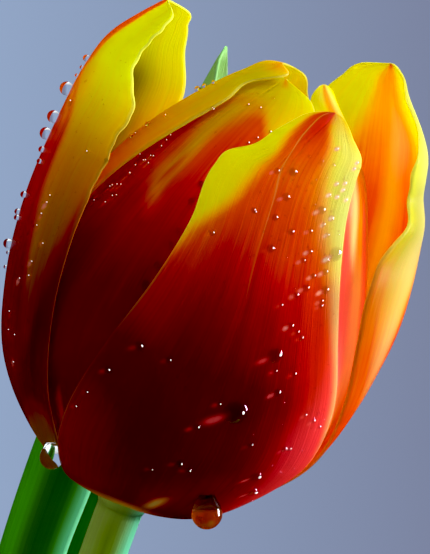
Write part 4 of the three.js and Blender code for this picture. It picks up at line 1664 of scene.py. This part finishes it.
OUTER_LEFT = Tepal(
    name="outer_left",
    slot="tepal_yellow",
    rounding=(0.965, 0.5),
    stations=(
        (-0.2, 3.2, -98, 48, 0, 48, 0),
        (-0.2, 8.5, -98, 48, 0, 50, 0),
        (2.4, 14, -98, 50, 0, 54, 0),
        (6.8, 19.4, -98, 50, 0, 59, -0.2),
        (13, 24.2, -98, 50, 0, 58, -0.3),
        (24, 28, -98, 50, -0.5, 53, -1.4),
        (36, 29.5, -98, 50, -1, 50.3, -2.3),
        (49, 29, -98, 50, -2, 50, -2.9),
        (57, 28, -97, 50, -2, 51.4, -1.8),
        (62, 26.6, -96, 43.7, -2, 40.2, -1.5),
        (66.5, 23.6, -93, 37.6, -1.5, 37, -0.7),
        (69.2, 21.4, -90, 29.4, -1, 33.6, 0),
        (70.5, 20.2, -84, 14, 0, 33.7, 0),
    ),
    outside=Flame(
        rows=(
            (0.0, -0.5, 0.5, 0.5, 0.3), (0.15, -0.55, 0.5, 0.75, 0.31), (0.21, -0.6, 0.6, 0.85, 0.36),
            (0.27, -0.74, 0.7, 0.82, 0.8), (0.34, -0.76, 0.74, 0.78, 0.8), (0.4, -0.75, 0.74, 0.76, 0.48),
            (0.434, -0.72, 0.72, 0.76, 0.4), (0.49, -0.68, 0.68, 0.78, 0.34), (0.549, -0.65, 0.65, 0.74, 0.3),
            (0.605, -0.61, 0.61, 0.7, 0.3), (0.671, -0.58, 0.58, 0.64, 0.28), (0.732, -0.55, 0.55, 0.52, 0.2),
            (0.761, -0.5, 0.5, 0.44, 0.15), (0.79, -0.4, 0.4, 0.42, 0.12), (0.816, -0.33, 0.33, 0.43, 0.07),
            (0.854, -0.41, 0.41, 0.42, 0.0), (0.897, -0.47, 0.46, 0.46, 0.0), (0.951, -0.45, 0.43, 0.5, 0.03),
            (1.0, -0.4, 0.4, 0.52, 0.05),
        ),
        feather=0.11,
        strokes=(
            Stroke(HEAT, 0.85, (
                (0.2, 1.0, 0.06, 0), (0.316, 1.0, 0.12, 1), (0.423, 1.0, 0.13, 1), (0.51, 1.0, 0.1, 1),
                (0.6, 1.0, 0.05, 0.5), (0.66, 1.0, 0.04, 0),
            )),
            Stroke(HEAT, 0.2, (
                (0.7, 0.48, 0.03, 0), (0.74, 0.42, 0.05, 0.6), (0.78, 0.36, 0.04, 0.5), (0.82, 0.3, 0.03, 0),
            )),
            # Painted shade down the near margin, strongest on its lower half.
            Stroke(SHADE, 0.8, (
                (0.04, 0.9, 0.5, 0.6), (0.19, 0.9, 0.5, 0.85), (0.3, 0.9, 0.3, 0.4), (0.42, 0.85, 0.3, 0.9),
                (0.508, 0.85, 0.3, 0.92), (0.59, 0.85, 0.35, 0.85), (0.655, 0.82, 0.4, 0.72),
                (0.72, 0.78, 0.4, 0.6), (0.79, 0.8, 0.3, 0.35), (0.85, 0.85, 0.2, 0.12),
                (0.92, 0.85, 0.2, 0.2), (1.0, 0.8, 0.2, 0.25),
            )),
            Stroke(HEAT, 0.98, (
                (0.2, 0.9, 0.16, 0), (0.3, 0.88, 0.12, 0.7), (0.4, 0.9, 0.06, 0.7), (0.5, 0.95, 0.05, 0),
            )),
            # An olive patch near the base, darkened by painted shade.
            Stroke(HEAT, 0.3, (
                (0.1, 0.8, 0.2, 0.8), (0.19, 0.86, 0.2, 1), (0.25, 0.88, 0.16, 0.9), (0.29, 0.85, 0.06, 0),
            )),
            Stroke(SHADE, 0.68, (
                (0.1, 0.8, 0.2, 0.8), (0.19, 0.84, 0.2, 1), (0.25, 0.86, 0.2, 0.9), (0.3, 0.8, 0.1, 0),
            )),
        ),
    ),
    inside=Flame(
        rows=(
            (0.0, -0.5, 0.5, 0.2, 0.2), (0.3, -0.6, 0.6, 0.6, 0.3), (0.72, -0.5, 0.5, 0.5, 0.26),
            (0.8, -0.5, 0.5, 0.5, 0.12), (1.0, -0.4, 0.4, 0.4, 0.02),
        ),
        strokes=(
            # Painted shade inside, near the lip.
            Stroke(SHADE, 0.95, (
                (0.6, -0.55, 0.3, 1), (0.75, -0.55, 0.27, 1), (0.81, -0.56, 0.26, 0.95),
                (0.86, -0.58, 0.24, 0.5), (0.93, -0.6, 0.22, 0.2), (1.0, -0.6, 0.2, 0.1),
            )),
        ),
    ),
    relief=Relief(right_wave=0.25, waves=11, wave_start=0.55),
)

OUTER_RIGHT = Tepal(
    name="outer_right",
    slot="tepal_orange",
    rounding=(0.975, 0.6),
    stations=(
        (-0.2, 3.2, 133, 50, 0, 46, 0),
        (-0.2, 8.5, 133, 52, 0, 46, 0),
        (2.4, 14, 133, 46, 0, 46, 0),
        (6.8, 19.4, 133, 45, -0.2, 46, 0),
        (13, 24.2, 133, 49, -0.3, 46, 0),
        (24, 28, 133, 61, -1.6, 46, 0),
        (36, 29.9, 133, 70.5, -3.8, 46, 0),
        (42, 29.5, 133, 73, -4, 45, 0),
        (49, 28.4, 133, 69, -3.5, 42, 0),
        (52.5, 27.6, 133, 63, -2.4, 40, 0),
        (56, 26.4, 133, 56, -2.8, 38, 0),
        (62.6, 23.4, 133, 62, -0.6, 34, 0),
        (67.5, 20.3, 131, 37, -1, 27, 0),
        (70.5, 18.4, 129, 26, -1, 20, 0),
        (72.6, 17.4, 127, 12, 0, 7, 0),
    ),
    outside=Flame(
        rows=(
            (0.0, -0.6, 0.6, 0.5, 0.36), (0.25, -0.75, 0.6, 0.66, 0.52), (0.355, -0.75, 0.6, 0.6, 0.52),
            (0.448, -0.72, 0.6, 0.52, 0.46), (0.54, -0.68, 0.6, 0.47, 0.36), (0.63, -0.6, 0.6, 0.44, 0.14),
            (0.71, -0.54, 0.5, 0.42, 0.05), (0.857, -0.4, 0.4, 0.36, 0.0), (1.0, -0.3, 0.3, 0.42, 0.04),
        ),
        feather=0.24,
        strokes=(
            Stroke(HEAT, 0.44, (
                (0.4, -1.0, 0.1, 0), (0.48, -1.0, 0.13, 1), (0.6, -1.0, 0.14, 1), (0.68, -1.0, 0.1, 0.6),
                (0.74, -1.0, 0.04, 0),
            )),
            # Painted highlight: a pale satin sheen along the outer face.
            Stroke(PALE, 0.7, (
                (0.4, -0.76, 0.05, 0), (0.47, -0.77, 0.06, 0.35), (0.54, -0.77, 0.08, 0.7),
                (0.63, -0.74, 0.12, 0.7), (0.75, -0.72, 0.2, 0.5), (0.857, -0.67, 0.3, 1.0),
                (0.98, -0.85, 0.25, 0.6),
            )),
            # Painted shade along the left margin and beside it.
            Stroke(SHADE, 0.4, (
                (0.4, -1.0, 0.12, 0.6), (0.55, -1.0, 0.16, 0.9), (0.64, -1.0, 0.16, 1.0),
                (0.74, -1.0, 0.06, 0.3), (0.8, -1.0, 0.04, 0),
            )),
            Stroke(SHADE, 0.42, (
                (0.58, -0.9, 0.12, 0), (0.66, -0.92, 0.16, 1), (0.78, -0.85, 0.2, 1), (0.86, -0.85, 0.15, 0),
            )),
            Stroke(SHADE, 0.2, (
                (0.62, -0.64, 0.1, 0), (0.7, -0.66, 0.12, 0.8), (0.78, -0.66, 0.12, 0.8),
                (0.84, -0.66, 0.1, 0),
            )),
            # A pale band on the upper half: partly its own colour, partly painted highlight.
            Stroke(PALE, 0.85, (
                (0.62, -0.66, 0.1, 0), (0.7, -0.68, 0.14, 0.9), (0.8, -0.66, 0.2, 0.9),
                (0.87, -0.66, 0.25, 0),
            )),
            Stroke(BLUSH_AND_GLOW, 0.5, (
                (0.2, -0.6, 0.08, 0), (0.3, -0.58, 0.1, 0.8), (0.5, -0.6, 0.08, 0.9), (0.6, -0.6, 0.06, 0),
            )),
        ),
    ),
    inside=Flame(
        rows=(
            (0.0, -0.8, 0.8, 0.3, 0.3), (0.5, -0.8, 0.85, 0.6, 0.4), (0.65, -0.75, 0.8, 0.58, 0.3),
            (0.72, -0.7, 0.74, 0.55, 0.24), (0.82, -0.5, 0.46, 0.43, 0.14), (0.92, -0.3, 0.25, 0.3, 0.1),
            (1.0, -0.2, 0.18, 0.28, 0.1),
        ),
        feather=0.45,
        strokes=(
            Stroke(HEAT, 0.58, (
                (0.5, -0.2, 0.12, 0), (0.6, -0.2, 0.1, 0.7), (0.7, -0.2, 0.09, 0.9), (0.77, -0.22, 0.06, 0),
            )),
            Stroke(HEAT, 0.6, ((0.988, 0.05, 0.15, 0), (0.995, 0.05, 0.25, 0.8), (1.0, 0.0, 0.6, 0.9))),
            # Painted shade over the upper part of the right half.
            Stroke(SHADE, 0.35, (
                (0.6, 0.8, 0.3, 0), (0.75, 0.75, 0.4, 1), (0.9, 0.6, 0.4, 0.9), (1.0, 0.6, 0.4, 0.4),
            )),
            Stroke(PALE, 0.5, (
                (0.45, -0.12, 0.03, 0), (0.6, -0.08, 0.06, 0.6), (0.8, -0.1, 0.08, 1.0),
                (0.93, -0.1, 0.08, 0.8), (0.98, -0.05, 0.05, 0),
            )),
            Stroke(BLUSH_AND_GLOW, 0.35, (
                (0.5, -0.08, 0.05, 0), (0.65, -0.07, 0.09, 0.9), (0.85, -0.12, 0.11, 1.0),
                (0.96, -0.1, 0.08, 0),
            )),
        ),
    ),
    relief=Relief(furrows=0.14, furrow_count=8, left_wave=0.25, waves=7, wave_start=0.6),
)

# The inner faces of the closed bud hardly show, so the three inner tepals share one.
INNER_LINING = Flame(
    rows=((0.0, -0.5, 0.5, 0.3, 0.2), (0.5, -0.8, 0.8, 0.6, 0.3), (1.0, -0.4, 0.4, 0.3, 0.1)),
)

INNER_LEFT = Tepal(
    name="inner_left",
    slot="tepal_red",
    rounding=(0.96, 0.5),
    stations=(
        (0.9, 2.2, -38, 45, 0, 45, 0),
        (0.9, 7, -38, 46, -0.5, 46, 0),
        (3.4, 13, -38, 48, -0.8, 48, 0),
        (8.1, 17.9, -38, 50, -1, 50, 0),
        (13.8, 22.3, -38, 50, -1, 50, 0),
        (20, 24.9, -38, 50, -1, 50, 0),
        (27, 25.2, -37, 50, -1.1, 50, 0),
        (39.5, 21.6, -36, 50, -1.4, 50, 0),
        (48, 17.9, -34, 50, -1.4, 50, 0),
        (56, 13.2, -30, 50, -1, 54, 1.2),
        (61, 9.3, -24, 48, -1, 58, 2.3),
        (64.5, 5.5, -13, 45, -1.1, 50, 2.2),
        (66, 2.8, -4, 30, -0.3, 36, 0.9),
    ),
    outside=Flame(
        rows=(
            (0.0, -1.3, 1.3, 0.6, 0.3), (0.3, -1.3, 1.3, 1.04, 0.3), (0.55, -1.3, 1.3, 0.95, 0.3),
            (0.66, -1.3, 1.3, 0.74, 0.3), (0.76, -1.25, 1.25, 0.58, 0.2), (0.82, -1.1, 0.9, 0.56, 0.14),
            (0.86, -0.9, 0.55, 0.5, 0.12), (0.885, -0.75, 0.42, 0.46, 0.12), (0.9, -0.4, 0.34, 0.34, 0.12),
            (0.92, -0.3, 0.2, 0.18, 0.1), (1.0, -0.2, 0.2, 0.06, 0.03),
        ),
        feather=0.2,
        strokes=(
            Stroke(HEAT, 0.17, (
                (0.63, 0.05, 0.04, 0), (0.67, 0.0, 0.09, 0.5), (0.71, -0.08, 0.13, 0.8),
                (0.78, -0.07, 0.13, 0.95), (0.84, -0.12, 0.19, 1), (0.89, -0.08, 0.26, 1),
                (0.92, -0.05, 0.3, 0),
            )),
            Stroke(HEAT, 0.54, (
                (0.5, -0.9, 0.3, 0), (0.62, -0.9, 0.4, 0.6), (0.7, -0.85, 0.4, 0.9), (0.8, -0.7, 0.35, 0.8),
                (0.88, -0.6, 0.2, 0),
            )),
            Stroke(HEAT, 0.6, (
                (0.69, -0.075, 0.02, 0), (0.72, -0.075, 0.03, 0.7), (0.75, -0.06, 0.025, 0.7),
                (0.79, -0.06, 0.02, 0),
            )),
            # Painted shade over the upper part.
            Stroke(SHADE, 0.32, (
                (0.62, 0.0, 0.2, 0), (0.7, -0.05, 0.2, 0.8), (0.85, -0.1, 0.3, 0.9), (0.92, 0.0, 0.8, 0.9),
                (0.97, 0.2, 0.8, 0.9), (1.0, 0.2, 0.8, 0.5),
            )),
            Stroke(HEAT, 0.34, ((0.965, 0.3, 0.12, 0), (0.985, 0.33, 0.16, 0.9), (1.0, 0.33, 0.2, 0.9))),
            Stroke(HEAT, 1.0, (
                (0.3, -0.2, 0.05, 0), (0.42, -0.22, 0.07, 1), (0.55, -0.3, 0.05, 0.6), (0.6, -0.3, 0.03, 0),
            )),
            Stroke(HEAT, 1.0, (
                (0.3, 0.15, 0.05, 0), (0.42, 0.13, 0.06, 1), (0.52, 0.1, 0.05, 0.6), (0.58, 0.1, 0.03, 0),
            )),
            Stroke(HEAT, 0.24, (
                (0.2, -0.03, 0.02, 0), (0.25, -0.01, 0.035, 0.9), (0.29, -0.01, 0.03, 0.7),
                (0.33, -0.01, 0.01, 0),
            )),
        ),
    ),
    inside=INNER_LINING,
    relief=Relief(furrows=0.18),
    row_count=180,
    column_count=100,
)

INNER_RIGHT = Tepal(
    name="inner_right",
    slot="tepal_orange",
    rounding=(0.96, 0.5),
    stations=(
        (0.9, 2.2, 76, 45, 0, 45, 0),
        (0.9, 7, 76, 46, -1, 46, 0),
        (3.4, 13, 76, 48, -1, 48, 0),
        (8.1, 17.9, 76, 50, -1, 50, 0),
        (13.8, 22.3, 76, 50, -1, 50, 0),
        (20, 24.9, 76, 50, -1, 50, 0),
        (27, 25.2, 76, 50, -1, 50, 0),
        (39.5, 22.4, 76, 50, -1, 50, 0),
        (48, 19.4, 76, 50, -1, 50, 0),
        (56, 15.8, 75, 43, -2, 50, 0),
        (61.5, 11.6, 71, 31, -2.5, 50, 0),
        (65, 8.2, 65, 24, -1.6, 45, 0),
        (67.3, 6.3, 58, 20, 0, 32, 0),
    ),
    outside=Flame(
        rows=(
            (0.0, -1.3, 1.3, 0.5, 0.3), (0.3, -1.3, 1.3, 0.42, 0.3), (0.5, -1.3, 1.3, 0.38, 0.3),
            (0.7, -1.2, 1.2, 0.35, 0.2), (0.85, -0.8, 0.8, 0.38, 0.1), (0.92, -0.5, 0.2, 0.3, 0.06),
            (1.0, -0.5, 0.0, 0.3, 0.06),
        ),
        feather=0.3,
        strokes=(
            # The strip that shows between its neighbours is rosy: partly its own colour, partly painted light
            # where light shines through it.
            Stroke(BLUSH_AND_GLOW, 0.85, (
                (0.4, -0.25, 0.1, 0), (0.5, -0.28, 0.16, 0.9), (0.64, -0.32, 0.14, 1),
                (0.8, -0.36, 0.07, 0.6), (0.86, -0.36, 0.05, 0),
            )),
            Stroke(BLUSH_AND_GLOW, 0.5, (
                (0.4, 0.0, 0.03, 0), (0.5, 0.0, 0.06, 0.9), (0.7, 0.0, 0.06, 0.9), (0.8, 0.0, 0.03, 0),
            )),
            Stroke(BLUSH_AND_GLOW, 0.3, (
                (0.3, 0.0, 0.3, 0), (0.4, 0.0, 0.5, 1), (0.62, 0.0, 0.4, 1), (0.7, 0.0, 0.3, 0),
            )),
            Stroke(PALE, 0.2, (
                (0.4, -0.1, 0.1, 0), (0.5, -0.1, 0.14, 0.8), (0.64, -0.14, 0.14, 1), (0.75, -0.2, 0.08, 0),
            )),
            Stroke(PALE, 0.85, (
                (0.66, -0.24, 0.03, 0), (0.71, -0.25, 0.05, 0.85), (0.8, -0.23, 0.08, 1),
                (0.88, -0.2, 0.06, 0.6), (0.94, -0.2, 0.03, 0),
            )),
            Stroke(PALE, 0.4, ((0.9, 0.2, 0.2, 0), (0.95, 0.2, 0.2, 0.9), (1.0, 0.2, 0.2, 0.8))),
            # Painted glow: this part of the strip gives off light of its own, standing in for light shining
            # through it.
            Stroke(GLEAM, 1.0, (
                (0.34, -0.05, 0.35, 0), (0.42, -0.08, 0.42, 0.6), (0.5, -0.1, 0.42, 1), (0.62, -0.1, 0.4, 1),
                (0.7, -0.1, 0.34, 0.9), (0.8, -0.05, 0.25, 0.6), (0.88, 0.0, 0.1, 0),
            )),
            Stroke(BLUSH_AND_GLOW, 0.6, (
                (0.4, 0.2, 0.05, 0), (0.5, 0.16, 0.08, 0.9), (0.66, 0.1, 0.09, 1), (0.78, 0.05, 0.08, 0.8),
                (0.84, 0.0, 0.05, 0),
            )),
            Stroke(BLUSH_AND_GLOW, 0.85, (
                (0.38, -0.28, 0.1, 0), (0.46, -0.3, 0.12, 0.8), (0.62, -0.34, 0.12, 0.9),
                (0.72, -0.38, 0.06, 0),
            )),
            # Painted shade at the tip.
            Stroke(SHADE, 0.25, ((0.88, -0.2, 0.6, 0), (0.95, -0.2, 0.6, 1), (1.0, -0.2, 0.6, 1))),
        ),
    ),
    inside=INNER_LINING,
)

INNER_BACK = Tepal(
    name="inner_back",
    slot="tepal_orange",
    rounding=(0.965, 0.5),
    stations=(
        (0.9, 2.2, -152, 45, 0, 45, 0),
        (0.9, 7, -152, 46, -1, 46, 0),
        (3.4, 13, -152, 48, -1, 48, 0),
        (8.1, 17.9, -151, 50, -1, 52, 0.2),
        (13.8, 22.3, -150, 50, -1, 55, 0.3),
        (20, 24.9, -149, 50, -1, 62, 0.5),
        (27, 25.2, -148, 50, -1, 68, 0.7),
        (39.5, 21.8, -146, 55, -1, 79, 1.2),
        (48, 18.4, -143, 60, -1, 85, 1.4),
        (56, 13.4, -140, 70, -1, 93, 1.4),
        (61, 9.4, -137, 84, -1, 99, 1.5),
        (64.5, 6.1, -134, 92, -1, 100, 1.5),
        (67.2, 3.3, -130, 95, -0.5, 136, 1),
        (67.7, 1.2, -98, 85, 0, 110, 0),
    ),
    outside=Flame(
        rows=(
            (0.0, -0.7, 0.7, 0.5, 0.3), (0.3, -0.8, 0.8, 0.75, 0.35), (0.6, -0.6, 0.6, 0.6, 0.36),
            (0.717, -0.5, 0.5, 0.5, 0.22), (0.783, -0.45, 0.45, 0.46, 0.19), (0.848, -0.4, 0.4, 0.4, 0.15),
            (0.918, -0.3, 0.3, 0.36, 0.1), (1.0, -0.2, 0.2, 0.34, 0.08),
        ),
        feather=0.3,
        strokes=(
            Stroke(HEAT, 0.38, ((0.95, 0.8, 0.2, 0), (0.985, 0.8, 0.3, 0.8), (1.0, 0.8, 0.3, 0.8))),
            # Painted shade near the tip, on both halves.
            Stroke(SHADE, 0.3, (
                (0.8, 0.85, 0.4, 0.2), (0.9, 0.85, 0.5, 0.8), (0.96, 0.8, 0.6, 1), (1.0, 0.8, 0.6, 0.6),
            )),
            Stroke(SHADE, 0.3, ((0.9, -0.75, 0.4, 0.5), (1.0, -0.75, 0.4, 0.8))),
        ),
    ),
    inside=INNER_LINING,
)

TEPALS = (OUTER_FRONT, OUTER_LEFT, OUTER_RIGHT, INNER_LEFT, INNER_RIGHT, INNER_BACK)

LEAVES = (
    Leaf(
        name="leaf_tall",
        root=0.585,
        sheath=8,
        lift=0,
        keel=((-7, 30, 215), (53.9, 22.5, 321)),
        stations=(
            (0, 4.3, 112, -50),
            (0.06, 5, 98, -50),
            (0.14, 6.6, 86, -50),
            (0.26, 8.4, 86, -44),
            (0.4, 9.4, 106, -24),
            (0.55, 9.4, 115, -8),
            (0.7, 8.5, 112, -6),
            (0.77, 8.5, 117, -8),
            (0.85, 6.0, 114, -10),
            (0.94, 4.1, 126, -14),
            (1, 3.4, 124, -16),
        ),
    ),
    Leaf(
        name="leaf_low",
        root=0.7,
        sheath=24,
        lift=3,
        keel=((56, -34, 258), (84, -46, 206)),
        stations=(
            (0, 4.3, 112, 140),
            (0.12, 5.6, 104, 144),
            (0.3, 8.6, 84, 150),
            (0.5, 10.5, 70, 150),
            (0.7, 10.5, 56, 150),
            (0.87, 9, 46, 150),
            (0.95, 7.5, 36, 150),
            (1, 6.5, 24, 150),
        ),
    ),
)

# The drops that the photograph shows, on the tepals and along their edges: the fields of a Drop.
LARGE_DROPS = as_drops(
    (277, 171, 4, 0.6, 0.4), (293, 172, 5, 0.3, 0.3), (286, 197, 5, 0.7, 0.4), (253.5, 210, 3, 0.2),
    (275, 217.5, 4, 0.3, 0.2), (321.5, 210, 5, 0.9, 0.5), (330.7, 218.5, 4, 1, 1), (310, 231, 3, 0.6, 0.3),
    (291, 232, 4, 0.3, 0.2), (212.5, 233, 3.5, 0.3), (270.5, 248.5, 5, 0.3), (309.5, 251.5, 3.5, 0.9, 0.5),
    (335, 254, 8, 1, 0.5), (325.5, 260, 4.5, 1, 1), (303, 260.5, 3.5, 0.7, 0.3), (325, 272, 4, 0.9, 0.4),
    (313, 276, 3.5, 0.8, 0.3), (306, 288, 4.5, 0.9, 0.2), (325, 290, 5, 1, 0.35), (296, 295, 3.5, 0.7, 0.2),
    (321, 301, 3, 0.6, 0.2), (320.5, 306, 3, 0.4, 0.1), (281, 305, 2.5, 0.4, 0.1), (290.5, 326, 4, 1, 0.35),
    (297, 332, 3, 0.5), (301, 338, 3, 0.4), (274.7, 355.5, 9.5, 0.9), (275, 371, 3, 0.5), (294, 374, 3, 0.5),
    (277, 392.5, 5, 0.9, 0.1), (234.5, 412.5, 15, 1), (219, 404, 3, 0.5), (196, 427, 5, 0.7),
    (250, 445, 4, 0.2), (284, 449, 4, 0.4), (289, 449, 3, 0.2), (179, 463, 5.5, 0.3), (188, 470, 4.5, 0.4),
    (255, 476.5, 7.5, 1), (252, 492, 6.5, 1, 0.1), (313, 421, 3, 0.5, 0.2), (305, 415, 2.5, 0.4, 0.2),
    (319, 427, 2.5, 0.4, 0.2), (151, 469, 3, 0.3), (87, 392, 3, 0.1), (108, 370, 5, 0.35), (140, 346, 6, 0.3),
    (169, 360, 4, 0.2), (76, 406, 3, 0.4), (327, 235, 3, 0.8, 0.8), (323.5, 224.5, 2.5, 0.8, 0.8),
    (129, 175, 4.5, 0.9, 0.3),
)

SMALL_DROPS = as_drops(
    (248, 143, 2.2), (257, 138, 2.2), (270, 132, 2), (165, 116, 2.2), (135, 134, 2.2),
    (161, 147, 2.4, 0.6, 0.3), (153, 157, 2.4, 0.7, 0.3), (148, 164, 2.4, 0.7, 0.3),
    (143, 161, 2.2, 0.5, 0.2), (135, 166, 2.4, 0.7, 0.3), (120.5, 185.5, 2.6, 0.8, 0.3),
    (112, 186, 2.4, 0.6, 0.2), (116, 196, 2.4, 0.5, 0.1), (105, 203, 2.2, 0.6, 0.3), (248, 105, 2),
    (260, 108, 2), (337, 149, 2, 1, 1), (255, 212, 2.4), (336.5, 184, 2.2, 1, 1), (345, 183.5, 2, 1, 1),
    (337, 197, 1.8, 1, 1), (346, 200, 1.8, 1, 1), (343, 190, 1.8, 1, 1), (354, 169, 2, 1, 1),
    (357, 163, 1.8, 1, 1), (329, 195, 2.4, 1, 0.9), (86.5, 152, 3), (71, 103, 4.5), (150, 157, 3, 0.9, 0.2),
    (145, 161, 2.6, 0.9, 0.3), (139.6, 155.5, 2.6, 0.9, 0.2), (116.6, 185.5, 3, 1, 0.3),
    (109.5, 187.5, 2.6, 0.9, 0.2), (112, 197, 3, 0.7, 0.1), (94, 201.5, 2.6, 1, 0.5),
    (166, 141, 2.6, 0.7, 0.2), (170, 136, 2.4, 0.6, 0.2), (212, 109, 3), (50, 196, 2.4, 0.8, 0.4),
    (47, 203, 2.6, 0.9, 0.4), (41.5, 214.5, 3, 0.9, 0.4), (37, 226, 2.6, 0.9, 0.4), (43, 244, 2.4, 0.8, 0.4),
    (32, 262, 2.4, 0.8, 0.4), (29, 276, 2.4, 0.7, 0.4), (20, 279, 3, 0.9, 0.3), (10, 312, 3, 0.9, 0.3),
    (15, 335, 2.6, 0.8, 0.3), (9, 330, 2.4, 0.7, 0.3), (14, 362, 2.4, 0.7, 0.4),
)

EDGE_DROPS = as_drops(
    (86.6, 58.3, 3.5), (81, 67, 2), (77.7, 76, 2), (67.7, 89, 7), (56.5, 118, 6.5), (46.8, 133.7, 6.2),
    (43.3, 150, 3.2), (40.6, 161.7, 2.6), (25.6, 195, 3.4), (19, 212, 3.2), (18.5, 218, 3), (9.7, 243.8, 5),
    (8.5, 252.6, 2), (5.3, 266.8, 2), (146, 285, 4.5), (157, 265, 3.5), (171, 244, 2.5), (178, 231, 2.5),
    (191, 201, 3), (201, 184, 2.8), (197.5, 89, 3), (205, 87, 2.4), (214, 83, 2), (148, 125, 2.4),
    (132, 137, 2), (107, 160, 2.2),
)

HANGING_DROPS = (
    HangingDrop("drop_front", 206.8, 514, 15.5, 18),
    HangingDrop("drop_left", 51.5, 457.5, 12, 16),
)

MISTS = (
    Mist(OUTER_FRONT, 3, (
        (0.72, 0.95, -0.3, 0.95, 110), (0.4, 0.74, -0.3, 0.95, 110), (0.2, 0.5, -0.7, 0.9, 70),
    )),
    Mist(OUTER_LEFT, 5, ((0.35, 0.9, 0.35, 0.95, 110), (0.24, 0.6, 0.3, 0.75, 110))),
    Mist(INNER_LEFT, 7, ((0.6, 0.85, -0.95, -0.1, 110), (0.8, 0.95, -0.4, 0.4, 20))),
)


# Putting it together.


def reporting(piece: Piece, slot: str, *replaces: str) -> Piece:
    """Fixes a finished piece to the part's one body and logs it.

    Args:
        piece: the piece.
        slot: the name of its material slot; it is not used.
        replaces: the frame's nodes that it is drawn in place of.

    Returns:
        The same piece.
    """
    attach(piece, "root")
    if replaces:
        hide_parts(*replaces)
    LOG.info("%s: %d faces", piece.name, len(piece.data.polygons))
    return piece


def finished(piece: Piece, finish: Finish, slot: str, *replaces: str) -> Piece:
    """Gives a piece its finish and reports it, with the slot and nodes that reporting takes."""
    piece.data.materials.append(finish.material())
    return reporting(piece, slot, *replaces)


def build_plant() -> list[Piece]:
    """Makes the bloom, its stem and its leaves, and returns the tepals."""
    tepals = []
    for tepal in TEPALS:
        piece = tepal.build()
        tepals.append(finished(piece, TepalSkin(tepal.name + "_skin"), tepal.slot, "tepal_" + tepal.name))
    green = GreenSkin("stem_skin", (0.15, 0.26, 0.006), (0.30, 0.46, 0.02), (16, 1.4))
    finished(Stem().build(), green, "stem", "stem")
    for leaf in LEAVES:
        green = GreenSkin(leaf.name + "_skin", (0.015, 0.19, 0.004), (0.06, 0.40, 0.012), (60, 1.4))
        finished(leaf.build(), green, "leaf", leaf.name)
    heart = Heart()
    stigma = Powder("pistil_skin", (0.34, 0.42, 0.12), (0.66, 0.7, 0.34), 400, 0.5)
    finished(heart.build_pistil(), stigma, "pistil", "pistil")
    pollen = Powder("pollen", (0.02, 0.008, 0.02), (0.09, 0.05, 0.08), 1500)
    reporting(heart.build_stamens(pollen.material()), "stamen", "stamens")
    return tepals


def build_vase() -> None:
    """Makes the vase and its water."""
    vase = Vase()
    finished(vase.build_glass(), Clear("clear_glass", 1.5, (0.97, 0.99, 0.985)), "glass", "vase")
    finished(vase.build_water(), Clear("clear_water", 1.33, (0.97, 0.99, 1.0)), "water", "water")


def build_dew(tepals: list[Piece]) -> None:
    """Makes the drops on the tepals, the painted shade and glow they leave on them, and their painted glints.
    """
    sight = Sight(tepals)
    dew = Clear("dew", 1.333, (1.0, 1.0, 1.0)).material()
    film = Film("dew_film").material()
    large, small, edge = (
        np.array([sight.spot(drop) for drop in group]) for group in (LARGE_DROPS, SMALL_DROPS, EDGE_DROPS)
    )
    reporting(Dew("dew_large").build(large, film), "water")
    reporting(Dew("dew_small", detail=2).build(small, film), "water")
    reporting(Dew("dew_edge", 1.0, 0.6).build(edge, dew), "water")
    # Painted shade under the drops and a painted glow beside them, where they would throw light.
    for piece in tepals:
        PaintedDropLight().paint(piece, LARGE_DROPS, large)
        PaintedDropLight().paint(piece, SMALL_DROPS, small)
    # Painted glints: small glowing beads where the window would show in the drops.
    bright = PaintedGlints().spots(np.vstack([large, small]))
    reporting(Dew("dew_glints", 1.0, 0.0, 2).build(bright, PaintedGlintFinish("glint").material()), "water")
    scattered = np.vstack([mist.spots() for mist in MISTS])
    reporting(Dew("dew_mist", detail=1).build(scattered, film), "water")
    # The front drop's water is clouded orange: painted colour that stands in for the bloom seen through it.
    bloom_tinted = Clear("drop_front_water", 1.333, (0.95, 0.45, 0.2), cloud=0.6, body=(0.75, 0.16, 0.02))
    for drop, water in zip(HANGING_DROPS, (bloom_tinted.material(), dew)):
        piece = drop.build(sight)
        piece.data.materials.append(water)
        reporting(piece, "water")


def main() -> None:
    """Builds the studio, the bloom, its stem and leaves, the vase, the water and the dew."""
    logging.basicConfig(level=logging.INFO, format="%(name)s: %(message)s")
    Studio().build()
    tepals = build_plant()
    build_vase()
    build_dew(tepals)


if __name__ == "__main__":
    main()
